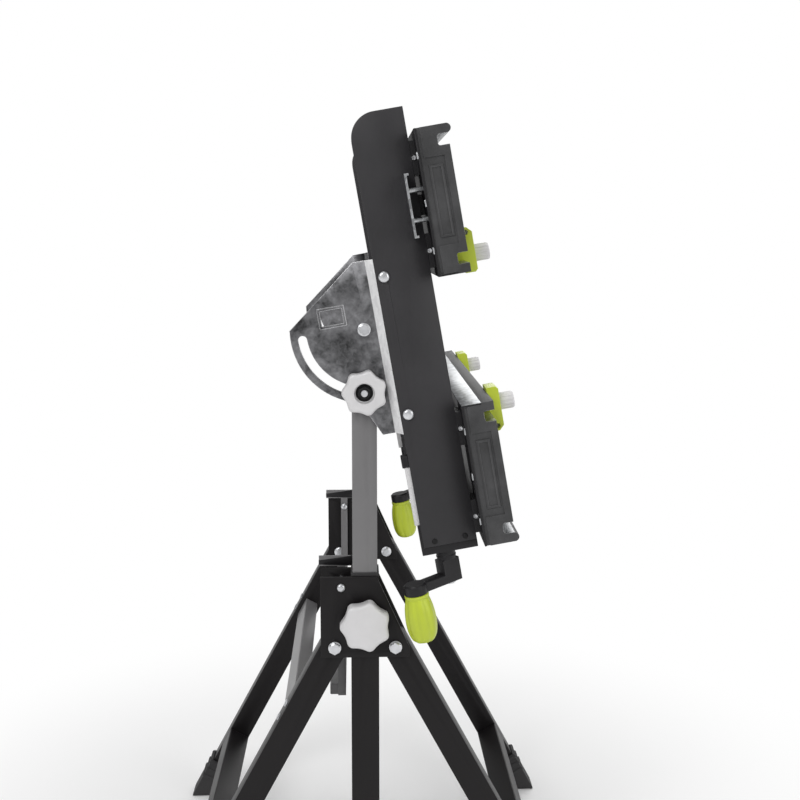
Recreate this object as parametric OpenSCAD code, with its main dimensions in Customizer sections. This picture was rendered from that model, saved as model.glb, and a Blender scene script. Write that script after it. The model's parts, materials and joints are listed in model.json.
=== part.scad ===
// Folding workbench with a tilting, clamping top.
// X runs from the rear of the top to its cranks, Y along the jaws, Z up.
// The origin is on the floor, midway between the feet.

/* [Top] */
// Tilt of the top from level
top_tilt = 80; // [40:1:80]
// Length of a side beam without its end cap
beam_len = 512; // [480:1:540]
// Depth of a side beam
beam_h = 64; // [56:1:70]
// Width of a side beam
beam_w = 34; // [30:1:38]
// Wall of a side beam
beam_wall = 2; // [1.5:0.1:3]
// Spacing of the two side beams, centre to centre
beam_span = 450; // [440:1:460]
// Distance that a beam reaches behind the tilt axis
beam_rear = 245; // [235:1:255]
// Distance from the tilt axis to the underside of a beam
beam_drop = 24; // [22:1:28]
// Length of the end cap at the cranks
end_cap_len = 9; // [7:1:12]

/* [Jaws] */
// Length of a jaw
jaw_len = 537; // [496:1:540]
// Width of a jaw along the beams
jaw_w = 168; // [150:1:172]
// Thickness of a jaw
jaw_t = 35; // [30:1:40]
// Wall of a jaw moulding
jaw_wall = 4; // [3:0.5:6]
// Gap between the two jaws
jaw_gap = 150; // [146:1:156]
// Distance from the tilt axis to the fixed jaw's gripping edge
fixed_jaw_at = 102; // [98:1:104]
// Width of a jaw groove
groove_w = 13; // [11:0.5:15]
// Depth of a jaw groove
groove_d = 13; // [10:0.5:15]
// Land between a jaw groove and the jaw's edge
groove_land = 10.5; // [9:0.5:13]
// Height of the rounded hook at a jaw's outer edge
hook_rise = 4; // [2:0.5:6]
// Thickness of a jaw's base plate
base_t = 2.5; // [2:0.5:4]
// Height of the pads between a base plate and the beams
pad_t = 6; // [5:0.5:8]

/* [Cranks] */
// Throw of a crank
crank_throw = 50; // [44:1:52]
// Turn of the cranks from the underside of the top
crank_turn = 30; // [0:5:60]
// Diameter of a lead screw
screw_d = 14; // [12:1:16]
// Distance from the tilt axis up to a lead screw
screw_rise = 49; // [46:1:52]
// Length of a crank grip
grip_len = 60; // [50:1:60]
// Largest diameter of a crank grip
grip_d = 37; // [32:1:37]

/* [Dogs] */
// Length of a dog across its jaw
dog_len = 54; // [48:1:58]
// Width of a dog along its jaw
dog_w = 36; // [30:1:42]
// Thickness of a dog above its jaw
dog_t = 15; // [12:1:18]
// Distance of each dog from the middle of its jaw
dog_at = 184; // [150:1:200]
// Diameter of a dog's knob
dog_knob_d = 21; // [18:1:24]
// Height of a dog's knob
dog_knob_h = 18; // [14:1:20]

/* [Stand] */
// Height of the tilt axis above the floor
pivot_h = 790; // [780:1:840]
// Width of the square posts
post_w = 30; // [26:1:30]
// Wall of the posts and legs
tube_wall = 1.8; // [1.2:0.1:2.5]
// Wall of a centre tube
sleeve_wall = 1.7; // [1.5:0.1:2]
// Spacing of the two posts, centre to centre
post_span = 400; // [396:1:404]
// Distance from the tilt axis down to the leg bolts
leg_bolt_drop = 388; // [386:1:400]
// Spacing of the two leg bolts of a hub
leg_bolt_span = 74; // [72:1:80]
// Width of a leg
leg_w = 32; // [28:1:32]
// Depth of a leg along the jaws
leg_d = 30; // [26:1:31]
// Angle of a leg from upright
leg_splay = 28.5; // [24:0.5:30]
// Thickness of a hub plate
hub_t = 3; // [2:0.5:4]
// Height of a hub plate
hub_h = 101; // [96:1:104]
// Width of a hub plate
hub_w = 108; // [106:1:110]
// Width of a hub plate's top
hub_top_w = 68; // [62:1:70]

/* [Quadrants] */
// Radius of the curved slot about the tilt axis
slot_r = 73.5; // [70:0.5:76]
// Width of the curved slot
slot_w = 10.5; // [10:0.5:12]
// Outer radius of a quadrant plate
quadrant_r = 87.6; // [86:0.2:92]
// Thickness of a quadrant plate
quadrant_t = 3; // [2:0.5:3]
// Diameter of a tilt knob
tilt_knob_d = 54; // [48:1:58]
// Diameter of a height knob
height_knob_d = 61; // [54:1:64]

/* [Hidden] */
$fn = 48;

// One overrun serves every cut
over = 1;
// Clearance between pieces that move past each other
gap = 0.3;
// Running clearance round a bolt or a screw
run_gap = 0.05;
// Sheet and bolt sizes
sheet_t = 3;
bolt_d = 8;
bolt_head_d = 13;
bolt_head_h = 5.3;
small_bolt_d = 6;
small_head_d = 10;
small_head_h = 4;

// Distances from the mid plane along the jaws
post_at = post_span / 2;
sleeve_w = post_w + 2 * (gap + sleeve_wall);
hub_in = post_at - sleeve_w / 2;
hub_out = post_at + sleeve_w / 2;
hub_face = hub_out + hub_t;
beam_at = beam_span / 2;
beam_in = beam_at - beam_w / 2;
beam_out = beam_at + beam_w / 2;
post_face = post_at + post_w / 2;
quadrant_in = post_face + gap;
quadrant_face = quadrant_in + quadrant_t;
tongue_out = beam_out - beam_wall;

// Heights above the tilt axis, square to the top
beam_top = beam_drop + beam_h;
base_at = beam_top + pad_t;
jaw_at = base_at + base_t;
jaw_top = jaw_at + jaw_t;

// Places along the beams
beam_front = beam_len - beam_rear;
cap_front = beam_front + end_cap_len;
moving_front = fixed_jaw_at - jaw_gap;
moving_rear = moving_front - jaw_w;
fixed_front = fixed_jaw_at + jaw_w;
groove_mid = groove_land + groove_w / 2;

// Stand heights
leg_bolt_z = pivot_h - leg_bolt_drop;
hub_bottom = leg_bolt_z - hub_t - bolt_head_d / 2 - hub_t;
hub_top = hub_bottom + hub_h;
sleeve_top = hub_top;
sleeve_bottom = 150;
leg_bolt_x = leg_bolt_span / 2;
foot_t = 12;
foot_rise = 45;
leg_reach = (leg_bolt_z - foot_t) / cos(leg_splay);

// Latch sizes
latch_pin_x = -29;
latch_pin_z = hub_top - 13;
latch_arm_w = 10;
latch_t = 3;
latch_bar_w = 15;
latch_bar_drop = 155;
latch_bar_h = 14;
latch_in = hub_in - hub_t - small_head_h - gap;

// Colours
black = [0.11, 0.10, 0.10];
charcoal = [0.24, 0.24, 0.24];
jaw_grey = [0.25, 0.25, 0.25];
post_grey = [0.40, 0.39, 0.39];
zinc = [0.72, 0.73, 0.74];
lime = [0.69, 0.75, 0.21];
knob_grey = [0.82, 0.81, 0.82];

// Helpers
module near() mirror([0, 1, 0]) children();
module both() for (s = [0, 1]) mirror([0, s, 0]) children();

// Extrudes a side view between two distances along the jaws
module slab(y0, y1) translate([0, y1, 0]) rotate([90, 0, 0]) linear_extrude(height = y1 - y0) children();

// A rod along the jaws between two distances
module rod(d, y0, y1) translate([0, y0, 0]) rotate([-90, 0, 0]) cylinder(d = d, h = y1 - y0);

// A hexagon head standing on the plane at y
module hex_head(d, h, y) translate([0, y, 0]) rotate([-90, 0, 0]) cylinder(d = d / cos(30), h = h, $fn = 6);

// Places children in the frame of the tilted top
module top() translate([0, 0, pivot_h]) rotate([0, top_tilt, 0]) children();

// Leg swung out from its bolt, side = -1 for left and 1 for right
module on_leg(side) translate([side * leg_bolt_x, 0, leg_bolt_z]) rotate([0, -side * leg_splay, 0]) children();

// Stand
module hub_profile() difference() {
    translate([-hub_w / 2, hub_bottom]) polygon([
        [0, 0], [hub_w, 0], [hub_w, hub_bolt_rise],
        [hub_top_w, hub_h], [0, hub_h],
    ]);
    for (s = [-1, 1]) translate([s * leg_bolt_x, leg_bolt_z]) circle(d = bolt_d + 2 * run_gap);
    translate([latch_pin_x, latch_pin_z]) circle(d = small_bolt_d + 2 * run_gap);
}
hub_bolt_rise = leg_bolt_z - hub_bottom;

// The outer plate also has the height knob's hole
module hub_outer() color(black) slab(hub_out, hub_face) difference() {
    hub_profile();
    translate([0, height_knob_z]) circle(d = bolt_d + 2 * run_gap);
}
height_knob_share = 0.455;
height_knob_z = hub_bottom + height_knob_share * hub_h;
module hub_inner() color(black) slab(hub_in - hub_t, hub_in) hub_profile();

module sleeve() color(black) difference() {
    translate([-sleeve_w / 2, hub_in, sleeve_bottom]) cube([sleeve_w, sleeve_w, sleeve_top - sleeve_bottom]);
    translate([-sleeve_w / 2 + sleeve_wall, hub_in + sleeve_wall, sleeve_bottom - over])
        cube([sleeve_w - 2 * sleeve_wall, sleeve_w - 2 * sleeve_wall, sleeve_top - sleeve_bottom + 2 * over]);
    translate([0, 0, height_knob_z]) rod(bolt_d + 2 * run_gap, post_at, hub_out + over);
}

// A plastic collar caps each centre tube and guides its post
collar_h = 4;
module sleeve_collars() color(charcoal) both() difference() {
    translate([-sleeve_w / 2, hub_in, sleeve_top]) cube([sleeve_w, sleeve_w, collar_h]);
    translate([-post_w / 2 - gap, post_at - post_w / 2 - gap, sleeve_top - over])
        cube([post_w + 2 * gap, post_w + 2 * gap, collar_h + 2 * over]);
}

module leg_bolts() color(zinc) both() for (s = [-1, 1]) translate([s * leg_bolt_x, 0, leg_bolt_z]) {
    rod(bolt_d, hub_in - hub_t - small_head_h, hub_face);
    hex_head(bolt_head_d, bolt_head_h, hub_face);
    hex_head(bolt_head_d, small_head_h, hub_in - hub_t - small_head_h);
}

module latch_pins() color(zinc) both() translate([latch_pin_x, 0, latch_pin_z]) {
    rod(small_bolt_d, latch_in - latch_t - small_head_h - gap, hub_face);
    translate([0, hub_face, 0]) rod(small_head_d, 0, small_head_h);
    translate([0, latch_in - latch_t - small_head_h - gap, 0]) rod(small_head_d, 0, small_head_h);
    translate([0, latch_in + gap, 0]) rod(small_head_d, 0, small_head_h);
}

// Legs
leg_in = post_at - leg_d / 2;
leg_out = post_at + leg_d / 2;
module leg_tube(side) on_leg(side) difference() {
    union() {
        translate([-leg_w / 2, leg_in, -leg_reach]) cube([leg_w, leg_d, leg_reach]);
        rod(leg_w, leg_in, leg_out);
    }
    translate([-leg_w / 2 + tube_wall, leg_in + tube_wall, -leg_reach - over])
        cube([leg_w - 2 * tube_wall, leg_d - 2 * tube_wall, leg_reach - leg_w / 2]);
    rod(bolt_d + 2 * run_gap, leg_in - over, leg_out + over);
}
module leg(side) color(black) leg_tube(side);

// Crossbar between the near and far legs, at a distance down the leg
module leg_bar(side, down, bar_h, bar_w) on_leg(side) difference() {
    translate([-bar_w / 2, -leg_in, -down - bar_h]) cube([bar_w, 2 * leg_in, bar_h]);
    translate([-bar_w / 2 + tube_wall, -leg_in - over, -down - bar_h + tube_wall])
        cube([bar_w - 2 * tube_wall, 2 * leg_in + 2 * over, bar_h - 2 * tube_wall]);
}
brace_down = 92;
brace_h = 30;
brace_w = 20;
foot_bar_h = 30;
foot_bar_down = leg_reach - foot_rise - 2 * foot_bar_h;
module left_brace() color(post_grey) leg_bar(-1, brace_down, brace_h, brace_w);
module foot_bar(side) color(black) leg_bar(side, foot_bar_down, foot_bar_h, leg_w);

// A shoe round the leg's end, cut level with the floor
foot_wall = 3;
module foot(side) color(charcoal) both() difference() {
    on_leg(side) translate([-leg_w / 2 - foot_wall, leg_in - foot_wall, -leg_reach - leg_w])
        cube([leg_w + 2 * foot_wall, leg_d + 2 * foot_wall, leg_w + foot_rise]);
    on_leg(side) translate([-leg_w / 2, leg_in, -leg_reach])
        cube([leg_w, leg_d, leg_reach]);
    translate([-pivot_h, 0, -2 * pivot_h]) cube([2 * pivot_h, pivot_h, 2 * pivot_h]);
}

// Latch
module latch_arm() color(post_grey) difference() {
    union() {
        slab(latch_in - latch_t, latch_in) translate([latch_pin_x - latch_arm_w / 2, latch_bar_z])
            square([latch_arm_w, hub_top + latch_rise - latch_bar_z]);
        slab(latch_in - latch_t, latch_in) translate([latch_tab_left, hub_top + gap])
            square([latch_tab_w, latch_rise - gap]);
    }
    translate([latch_pin_x, 0, latch_pin_z]) rod(small_bolt_d + 2 * run_gap, latch_in - latch_t - over, latch_in + over);
}
latch_rise = 13;
latch_tab_left = -57;
latch_tab_w = 42;
latch_bar_z = latch_pin_z - latch_bar_drop;
module latch_bar() color(post_grey)
    translate([latch_pin_x - latch_bar_w, -latch_in + latch_t, latch_bar_z])
        cube([latch_bar_w + latch_arm_w / 2, 2 * (latch_in - latch_t), latch_bar_h]);

// Posts
post_below = 560;
post_above = 18;
module post() color(post_grey) difference() {
    translate([-post_w / 2, post_at - post_w / 2, pivot_h - post_below])
        cube([post_w, post_w, post_below + post_above]);
    translate([-post_w / 2 + tube_wall, post_at - post_w / 2 + tube_wall, pivot_h - post_below - over])
        cube([post_w - 2 * tube_wall, post_w - 2 * tube_wall, post_below + post_above]);
    translate([0, 0, pivot_h]) rod(bolt_d + 2 * run_gap, post_at - post_w, post_at + post_w);
    translate([0, 0, pivot_h - slot_r]) rod(bolt_d + 2 * run_gap, post_at - post_w, post_at + post_w);
}
module tilt_bolts() color(zinc) both() translate([0, 0, pivot_h]) {
    rod(bolt_d, post_at - post_w / 2 - small_head_h, quadrant_face + gap);
    hex_head(bolt_head_d, bolt_head_h, quadrant_face + gap);
    hex_head(bolt_head_d, small_head_h, post_at - post_w / 2 - small_head_h);
}

// Quadrants
bolt_gap = 1;
tongue_h = 22;
joggle_low = 15;
window_w = 26;
window_h = 18;
window_at = [-21, -35];
quadrant_bolts_u = [-58, 105];
quadrant_bolt_w = beam_drop + 9.5;
quad_rear = 80;
quad_front = 128;
quad_tip = [-13, -quadrant_r];
function polar(r, a) = [r * cos(a), r * sin(a)];
module arc_band(r, w, a0, a1) {
    difference() {
        circle(r = r + w / 2);
        circle(r = r - w / 2);
        polygon([[0, 0], for (k = [0:8]) polar(4 * r, a1 + k * (360 - a1 + a0) / 8)]);
    }
    for (a = [a0, a1]) translate(polar(r, a)) circle(d = w);
}
module quadrant_profile() difference() {
    union() {
        intersection() {
            circle(r = quadrant_r);
            polygon([[0, 0], 2 * quad_tip, polar(2 * quadrant_r, -60), polar(2 * quadrant_r, -26)]);
        }
        polygon([
            [-quad_rear, joggle_low], [-quad_rear, 0], [-0.66 * quad_rear, -0.4 * quadrant_r],
            quad_tip, [0, 0], polar(quadrant_r, -26), [0.78 * quad_front, -0.15 * quadrant_r],
            [quad_front, 0], [quad_front, joggle_low],
        ]);
    }
    circle(d = bolt_d + 2 * run_gap);
    arc_band(slot_r, slot_w, -90, top_tilt - 90);
    translate(window_at) square([window_h, window_w], center = true);
}
module quadrant() top() color(zinc) {
    slab(quadrant_in, quadrant_face) quadrant_profile();
    difference() {
        translate([-quad_rear, 0, 0]) rotate([90, 0, 90]) linear_extrude(height = quad_rear + quad_front)
            polygon([
                [quadrant_in, joggle_low], [quadrant_face, joggle_low],
                [tongue_out, beam_drop], [tongue_out, beam_drop + tongue_h],
                [tongue_out - quadrant_t, beam_drop + tongue_h], [tongue_out - quadrant_t, beam_drop + sheet_t / 2],
                [quadrant_in, joggle_low + sheet_t],
            ]);
        for (u = quadrant_bolts_u) translate([u, 0, quadrant_bolt_w])
            rod(bolt_d + 2 * run_gap, tongue_out - beam_w, beam_out);
    }
    translate(concat([window_at[0]], [0], [window_at[1]])) window_lip();
}
lip_h = 3;
module window_lip() slab(quadrant_face, quadrant_face + lip_h) difference() {
    square([window_h + 2 * sheet_t, window_w + 2 * sheet_t], center = true);
    square([window_h, window_w], center = true);
}

// Beams: inverted channels that are open below
nut_u = moving_rear + jaw_w / 2;
jaw_open = 25;
jaw_close = 130;
neck_w = 10;
nut_len = 24;
corner_r = 30;
module beam() top() color(charcoal) difference() {
    slab(beam_in, beam_out) difference() {
        translate([-beam_rear, beam_drop]) square([beam_len, beam_h]);
        translate([-beam_rear, beam_drop]) difference() {
            translate([-over, -over]) square([corner_r + over, corner_r + over]);
            translate([corner_r, corner_r]) circle(r = corner_r);
        }
    }
    translate([-beam_rear + beam_wall, beam_in + beam_wall, beam_drop - over])
        cube([beam_len, beam_w - 2 * beam_wall, beam_h - beam_wall + over]);
    translate([nut_u - jaw_open - nut_len, beam_at - neck_w / 2 - bolt_gap, beam_top - 2 * beam_wall])
        cube([jaw_open + jaw_close + 2 * nut_len, neck_w + 2 * bolt_gap, 3 * beam_wall]);
    for (u = quadrant_bolts_u) translate([u, 0, quadrant_bolt_w]) rod(bolt_d + 2 * run_gap, beam_at, beam_out + over);
}

// End cap with the lead screw's bearing
cap_bulge = 3;
cap_plug = 14;
cap_fit = 0.3;
module end_cap() top() color(black) difference() {
    union() {
        slab(beam_in - cap_fit, beam_out + cap_fit) translate([beam_front, beam_drop - cap_bulge])
            square([end_cap_len, beam_h + cap_bulge]);
        slab(beam_in + beam_wall, beam_out - beam_wall) translate([beam_front - cap_plug, beam_drop + beam_wall])
            square([cap_plug, beam_h - 2 * beam_wall]);
        slab(beam_in - cap_fit, beam_out + cap_fit) translate([beam_front - 2 * cap_plug, beam_drop - cap_bulge])
            square([2 * cap_plug, cap_bulge]);
    }
    translate([0, beam_at, screw_rise]) rotate([0, 90, 0]) cylinder(d = screw_d + 2 * run_gap, h = 2 * beam_len);
}

// Rails between the near and far beams
rail_h = 30;
rail_w = 20;
module rail(u, w) top() color(charcoal) difference() {
    translate([u, -beam_in, w]) cube([rail_w, 2 * beam_in, rail_h]);
    translate([u + tube_wall, -beam_in - over, w + tube_wall])
        cube([rail_w - 2 * tube_wall, 2 * beam_in + 2 * over, rail_h - 2 * tube_wall]);
}
front_rail_u = fixed_front - 2 * rail_w;
middle_rail_u = fixed_jaw_at + rail_w;
rail_drop = beam_top - rail_h - sheet_t;

// Jaws, drawn with the gripping edge at u = 0 and the body behind it
face_h = 0.6 * jaw_t;
groove_r = 3;
jaw_pockets = 5;
pocket_w = jaw_w - 4 * groove_land - 2 * groove_w;
module groove(u) translate([u, jaw_t - groove_d]) {
    translate([groove_r, 0]) square([groove_w - 2 * groove_r, groove_d + over]);
    translate([0, groove_r]) square([groove_w, groove_d]);
    for (x = [groove_r, groove_w - groove_r]) translate([x, groove_r]) circle(r = groove_r);
}
module jaw_profile() difference() {
    union() {
        translate([-jaw_w, 0]) square([jaw_w - base_t, jaw_t]);
        translate([-jaw_w, face_h]) square([jaw_w, jaw_t - face_h]);
        translate([-jaw_w, 0]) square([groove_land, jaw_t + hook_rise - groove_land / 2]);
        translate([groove_land / 2 - jaw_w, jaw_t + hook_rise - groove_land / 2]) circle(d = groove_land);
    }
    groove(-groove_land - groove_w);
    groove(groove_land - jaw_w);
}
end_recess = 2;
module jaw() color(jaw_grey) translate([0, 0, jaw_at]) difference() {
    slab(-jaw_len / 2, jaw_len / 2) jaw_profile();
    for (k = [0:jaw_pockets - 1]) translate([
        -jaw_w + 2 * groove_land + groove_w,
        -jaw_len / 2 + jaw_wall + k * (jaw_len - jaw_wall) / jaw_pockets, -over,
    ]) cube([pocket_w, (jaw_len - jaw_wall) / jaw_pockets - jaw_wall, jaw_t - jaw_wall + over]);
    both() slab(jaw_len / 2 - end_recess, jaw_len / 2 + over) {
        translate([-jaw_w + 2 * groove_land + groove_w, jaw_wall]) square([pocket_w, jaw_t - 3 * jaw_wall]);
        translate([-jaw_w - over, -over]) square([jaw_w + 2 * over, jaw_wall + over]);
    }
}
// A sheet under the jaw that turns up in front as its gripping face
module base() color(zinc) {
    translate([-jaw_w, -jaw_len / 2, base_at]) cube([jaw_w, jaw_len, base_t]);
    translate([-base_t, -jaw_len / 2, base_at]) cube([base_t, jaw_len, base_t + face_h]);
}
module pads(lift) color(black) both() for (u = [-jaw_w + groove_land, -groove_land - pad_len])
    translate([u, beam_in, beam_top + lift]) cube([pad_len, beam_w, pad_t - lift]);
pad_len = 40;

// Places a jaw: the fixed one is the moving one's mirror image
module at_moving() top() translate([moving_front, 0, 0]) children();
module at_fixed() top() translate([fixed_jaw_at, 0, 0]) mirror([1, 0, 0]) children();

module fixed_pads() at_fixed() pads(0);
module glide_pads() at_moving() pads(gap);

table_bolt_w = beam_drop + 9.5;
module table_bolts() top() color(zinc) both() {
    for (u = quadrant_bolts_u) translate([u, 0, quadrant_bolt_w]) {
        rod(bolt_d, tongue_out - quadrant_t - small_head_h, beam_out);
        translate([0, beam_out, 0]) rod(bolt_head_d, 0, small_head_h);
        hex_head(bolt_head_d - run_gap, small_head_h, tongue_out - quadrant_t - small_head_h);
    }
}

// Index strip under each beam's front
strip_len = 80;
strip_t = 6;
strip_w = 8;
module index_strips() top() color(knob_grey) both()
    translate([beam_front - 2 * cap_plug - strip_len, beam_out - beam_wall - strip_w, beam_drop - strip_t])
        cube([strip_len, strip_w, 2 * strip_t]);

// Moving jaw's carriage
shoe_len = 73;
shoe_w = beam_out + gap;
shoe_rise = beam_top - 13;
stud_pitch = 34;
module jaw_shoes() at_moving() color(zinc) both() translate([-jaw_w / 2, 0, 0]) {
    translate([-shoe_len / 2, shoe_w, shoe_rise]) cube([shoe_len, jaw_len / 2 - shoe_w, base_t]);
    for (s = [-1, 1]) {
        translate([s * stud_pitch / 2, (shoe_w + jaw_len / 2) / 2, shoe_rise + base_t])
            cylinder(d = small_bolt_d, h = base_at - shoe_rise - base_t);
        translate([s * (shoe_len / 2 - base_t / 2) - base_t / 2, shoe_w, shoe_rise])
            cube([base_t, jaw_len / 2 - shoe_w, 2 * base_t]);
    }
}
nut_h = 17;
module screw_nuts() at_moving() color(black) both() difference() {
    union() {
        translate([-jaw_w / 2 - nut_len / 2, beam_at - nut_h / 2, screw_rise - nut_h / 2])
            cube([nut_len, nut_h, nut_h]);
        translate([-jaw_w / 2 - nut_len / 2, beam_at - neck_w / 2, screw_rise])
            cube([nut_len, neck_w, base_at - screw_rise]);
    }
    translate([-jaw_w, beam_at, screw_rise]) rotate([0, 90, 0]) cylinder(d = screw_d + 2 * run_gap, h = jaw_w);
}

// Cranks
screw_tail = beam_rear - 12;
collar_d = 23;
collar_len = 12;
crank_hub_len = 18;
arm_t = 10;
arm_w = 18;
spindle_d = 8;
crank_u = cap_front + gap + collar_len + crank_hub_len;
module lead_screw() color(zinc) top() translate([-screw_tail, beam_at, screw_rise]) rotate([0, 90, 0])
    cylinder(d = screw_d, h = screw_tail + crank_u - crank_hub_len / 2);

// The crank's own frame: Z along the screw, X along the arm, side = -1 for the near one
arm_lift = 10;
module at_crank(side) top() translate([crank_u, side * beam_at, screw_rise])
    rotate([0, 90, 0]) rotate([0, 0, -crank_turn]) children();
module crank(side) color(black) at_crank(side) difference() {
    union() {
        translate([0, 0, -crank_hub_len - collar_len]) cylinder(d = collar_d, h = collar_len);
        translate([-collar_d / 2, -arm_w / 2, -crank_hub_len])
            cube([collar_d, arm_w, crank_hub_len + arm_lift]);
        translate([0, -arm_w / 2, arm_lift - arm_t]) cube([crank_throw, arm_w, arm_t]);
        translate([crank_throw, 0, arm_lift - arm_t]) cylinder(d = arm_w + arm_t, h = arm_t);
        translate([crank_throw, 0, arm_lift]) cylinder(d = spindle_d, h = grip_len - spindle_d);
    }
    translate([0, 0, -2 * crank_hub_len]) cylinder(d = screw_d + run_gap, h = 2 * crank_hub_len - crank_hub_len / 2);
}
// Outline of a grip: heights as shares of its length, radii as shares of its largest radius
grip_shares = [
    [0, 0.70], [0.06, 0.76], [0.20, 0.87], [0.36, 0.96], [0.52, 1], [0.68, 0.98],
    [0.82, 0.90], [0.92, 0.76], [0.98, 0.52], [1, 0.30],
];
module grip(side) color(lime) at_crank(side) translate([crank_throw, 0, arm_lift + gap]) difference() {
    rotate_extrude() polygon(concat(
        [[0, 0]],
        [for (p = grip_shares) [p[1] * grip_d / 2, p[0] * (grip_len - gap)]],
        [[0, grip_len - gap]]
    ));
    translate([0, 0, -over]) cylinder(d = spindle_d + 2 * run_gap, h = grip_len - spindle_d + over);
}

// Knobs: a seven-lobed star with one lobe down, on the plane at y and facing outwards
lobes = 7;
star_shares = [0.86, 0.22];
module star(d, h) {
    linear_extrude(height = h) difference() {
        union() {
            circle(d = star_shares[0] * d);
            for (k = [0:lobes - 1]) rotate(90 + k * 360 / lobes) translate([d / 2 - star_shares[1] * d / 2, 0])
                circle(d = star_shares[1] * d);
            for (k = [0:lobes - 1]) rotate(90 + k * 360 / lobes)
                polygon([
                    [0, -star_shares[1] * d], [d / 2 - star_shares[1] * d / 2, -star_shares[1] * d / 2],
                    [d / 2 - star_shares[1] * d / 2, star_shares[1] * d / 2], [0, star_shares[1] * d],
                ]);
        }
    }
}
knob_h = 18;
knob_neck = 8;
knob_lip = 4;
module outwards(y) translate([0, y, 0]) rotate([-90, 0, 0]) children();
tilt_knob_y = quadrant_face + lip_h + gap;
module tilt_knob() color(knob_grey) translate([0, 0, pivot_h - slot_r]) {
    rod(bolt_d, post_at - post_w / 2, tilt_knob_y + knob_h / 2);
    rod(bolt_head_d + knob_neck, quadrant_face + gap, tilt_knob_y);
    outwards(tilt_knob_y) difference() {
        star(tilt_knob_d, knob_h);
        translate([0, 0, knob_h / 2]) cylinder(d = tilt_knob_d / 2, h = knob_h);
    }
    hex_head(bolt_head_d, bolt_head_h, tilt_knob_y + knob_h / 2);
}
height_knob_y = hub_face + knob_neck;
module height_knob() color(knob_grey) translate([0, 0, height_knob_z]) {
    rod(bolt_d, post_face + gap, height_knob_y);
    rod(bolt_head_d + knob_neck, hub_face + gap, height_knob_y);
    outwards(height_knob_y) star(height_knob_d, knob_h);
}

// Dogs, drawn over the groove's middle with the gripping side in front
dog_front_share = 0.4;
dog_hole_d = 6;
dog_slope = 6;
// Half the width of the key that slides in a jaw groove
key_half = groove_w / 2 - gap;
module dog() color(lime) translate([-groove_mid, 0, jaw_top]) difference() {
    slab(dog_at - dog_w / 2, dog_at + dog_w / 2) {
        translate([0, gap - groove_d]) polygon([
            [-key_half, groove_d], [-key_half, groove_r], [groove_r - key_half, 0],
            [key_half - groove_r, 0], [key_half, groove_r], [key_half, groove_d],
        ]);
        translate([-(1 - dog_front_share) * dog_len, gap]) polygon([
            [0, 0], [dog_len, 0], [dog_len, dog_t - gap - dog_slope / 2], [dog_len - dog_slope / 2, dog_t - gap],
            [dog_slope, dog_t - gap], [0, dog_t - gap - dog_slope],
        ]);
    }
    translate([dog_hole_d - (1 - dog_front_share) * dog_len, 0, dog_t / 2 - gap])
        rod(dog_hole_d, dog_at - dog_w, dog_at + dog_w);
    translate([0, dog_at, -groove_d / 2]) cylinder(d = small_bolt_d + 2 * run_gap, h = 2 * dog_t);
}
module dog_knob() color(knob_grey) translate([-groove_mid, dog_at, jaw_top]) {
    translate([0, 0, 2 * gap]) cylinder(d = small_bolt_d, h = dog_t);
    translate([0, 0, dog_t + gap]) cylinder(d = dog_knob_d, h = dog_knob_h - knob_bevel);
    translate([0, 0, dog_t + gap + dog_knob_h - knob_bevel])
        cylinder(d1 = dog_knob_d, d2 = dog_knob_d - 2 * knob_bevel, h = knob_bevel);
}
knob_bevel = 2;

near() sleeve();  // sleeve_near
sleeve();  // sleeve_far
near() hub_outer();  // hub_outer_near
hub_outer();  // hub_outer_far
near() hub_inner();  // hub_inner_near
hub_inner();  // hub_inner_far
sleeve_collars();
leg_bolts();
latch_pins();
near() leg(-1);  // left_leg_near
leg(-1);  // left_leg_far
left_brace();
foot_bar(-1);  // left_foot_bar
foot(-1);  // left_feet
near() leg(1);  // right_leg_near
leg(1);  // right_leg_far
foot_bar(1);  // right_foot_bar
foot(1);  // right_feet
near() latch_arm();  // latch_arm_near
latch_arm();  // latch_arm_far
latch_bar();
near() post();  // post_near
post();  // post_far
tilt_bolts();
near() beam();  // beam_near
beam();  // beam_far
near() end_cap();  // end_cap_near
end_cap();  // end_cap_far
near() quadrant();  // quadrant_near
quadrant();  // quadrant_far
rail(front_rail_u, rail_drop);  // front_rail
rail(middle_rail_u, rail_drop);  // middle_rail
at_fixed() jaw();  // fixed_jaw
at_fixed() base();  // fixed_base
fixed_pads();
table_bolts();
index_strips();
at_moving() jaw();  // moving_jaw
at_moving() base();  // moving_base
glide_pads();
jaw_shoes();
screw_nuts();
near() lead_screw();  // lead_screw_near
lead_screw();  // lead_screw_far
crank(-1);  // crank_near
crank(1);  // crank_far
grip(-1);  // grip_near
grip(1);  // grip_far
near() tilt_knob();  // tilt_knob_near
tilt_knob();  // tilt_knob_far
near() height_knob();  // height_knob_near
height_knob();  // height_knob_far
near() at_moving() dog();  // dog_moving_near
at_moving() dog();  // dog_moving_far
near() at_fixed() dog();  // dog_fixed_near
at_fixed() dog();  // dog_fixed_far
near() at_moving() dog_knob();  // dog_knob_moving_near
at_moving() dog_knob();  // dog_knob_moving_far
near() at_fixed() dog_knob();  // dog_knob_fixed_near
at_fixed() dog_knob();  // dog_knob_fixed_far
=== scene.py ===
"""Dresses the folding workbench round its exact frame and sets it in a plain studio."""

import json
import logging
import math
from collections.abc import Callable, Iterator
from contextlib import contextmanager
from dataclasses import dataclass
from enum import Enum

import bpy
from mathutils import Matrix, Vector

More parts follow.
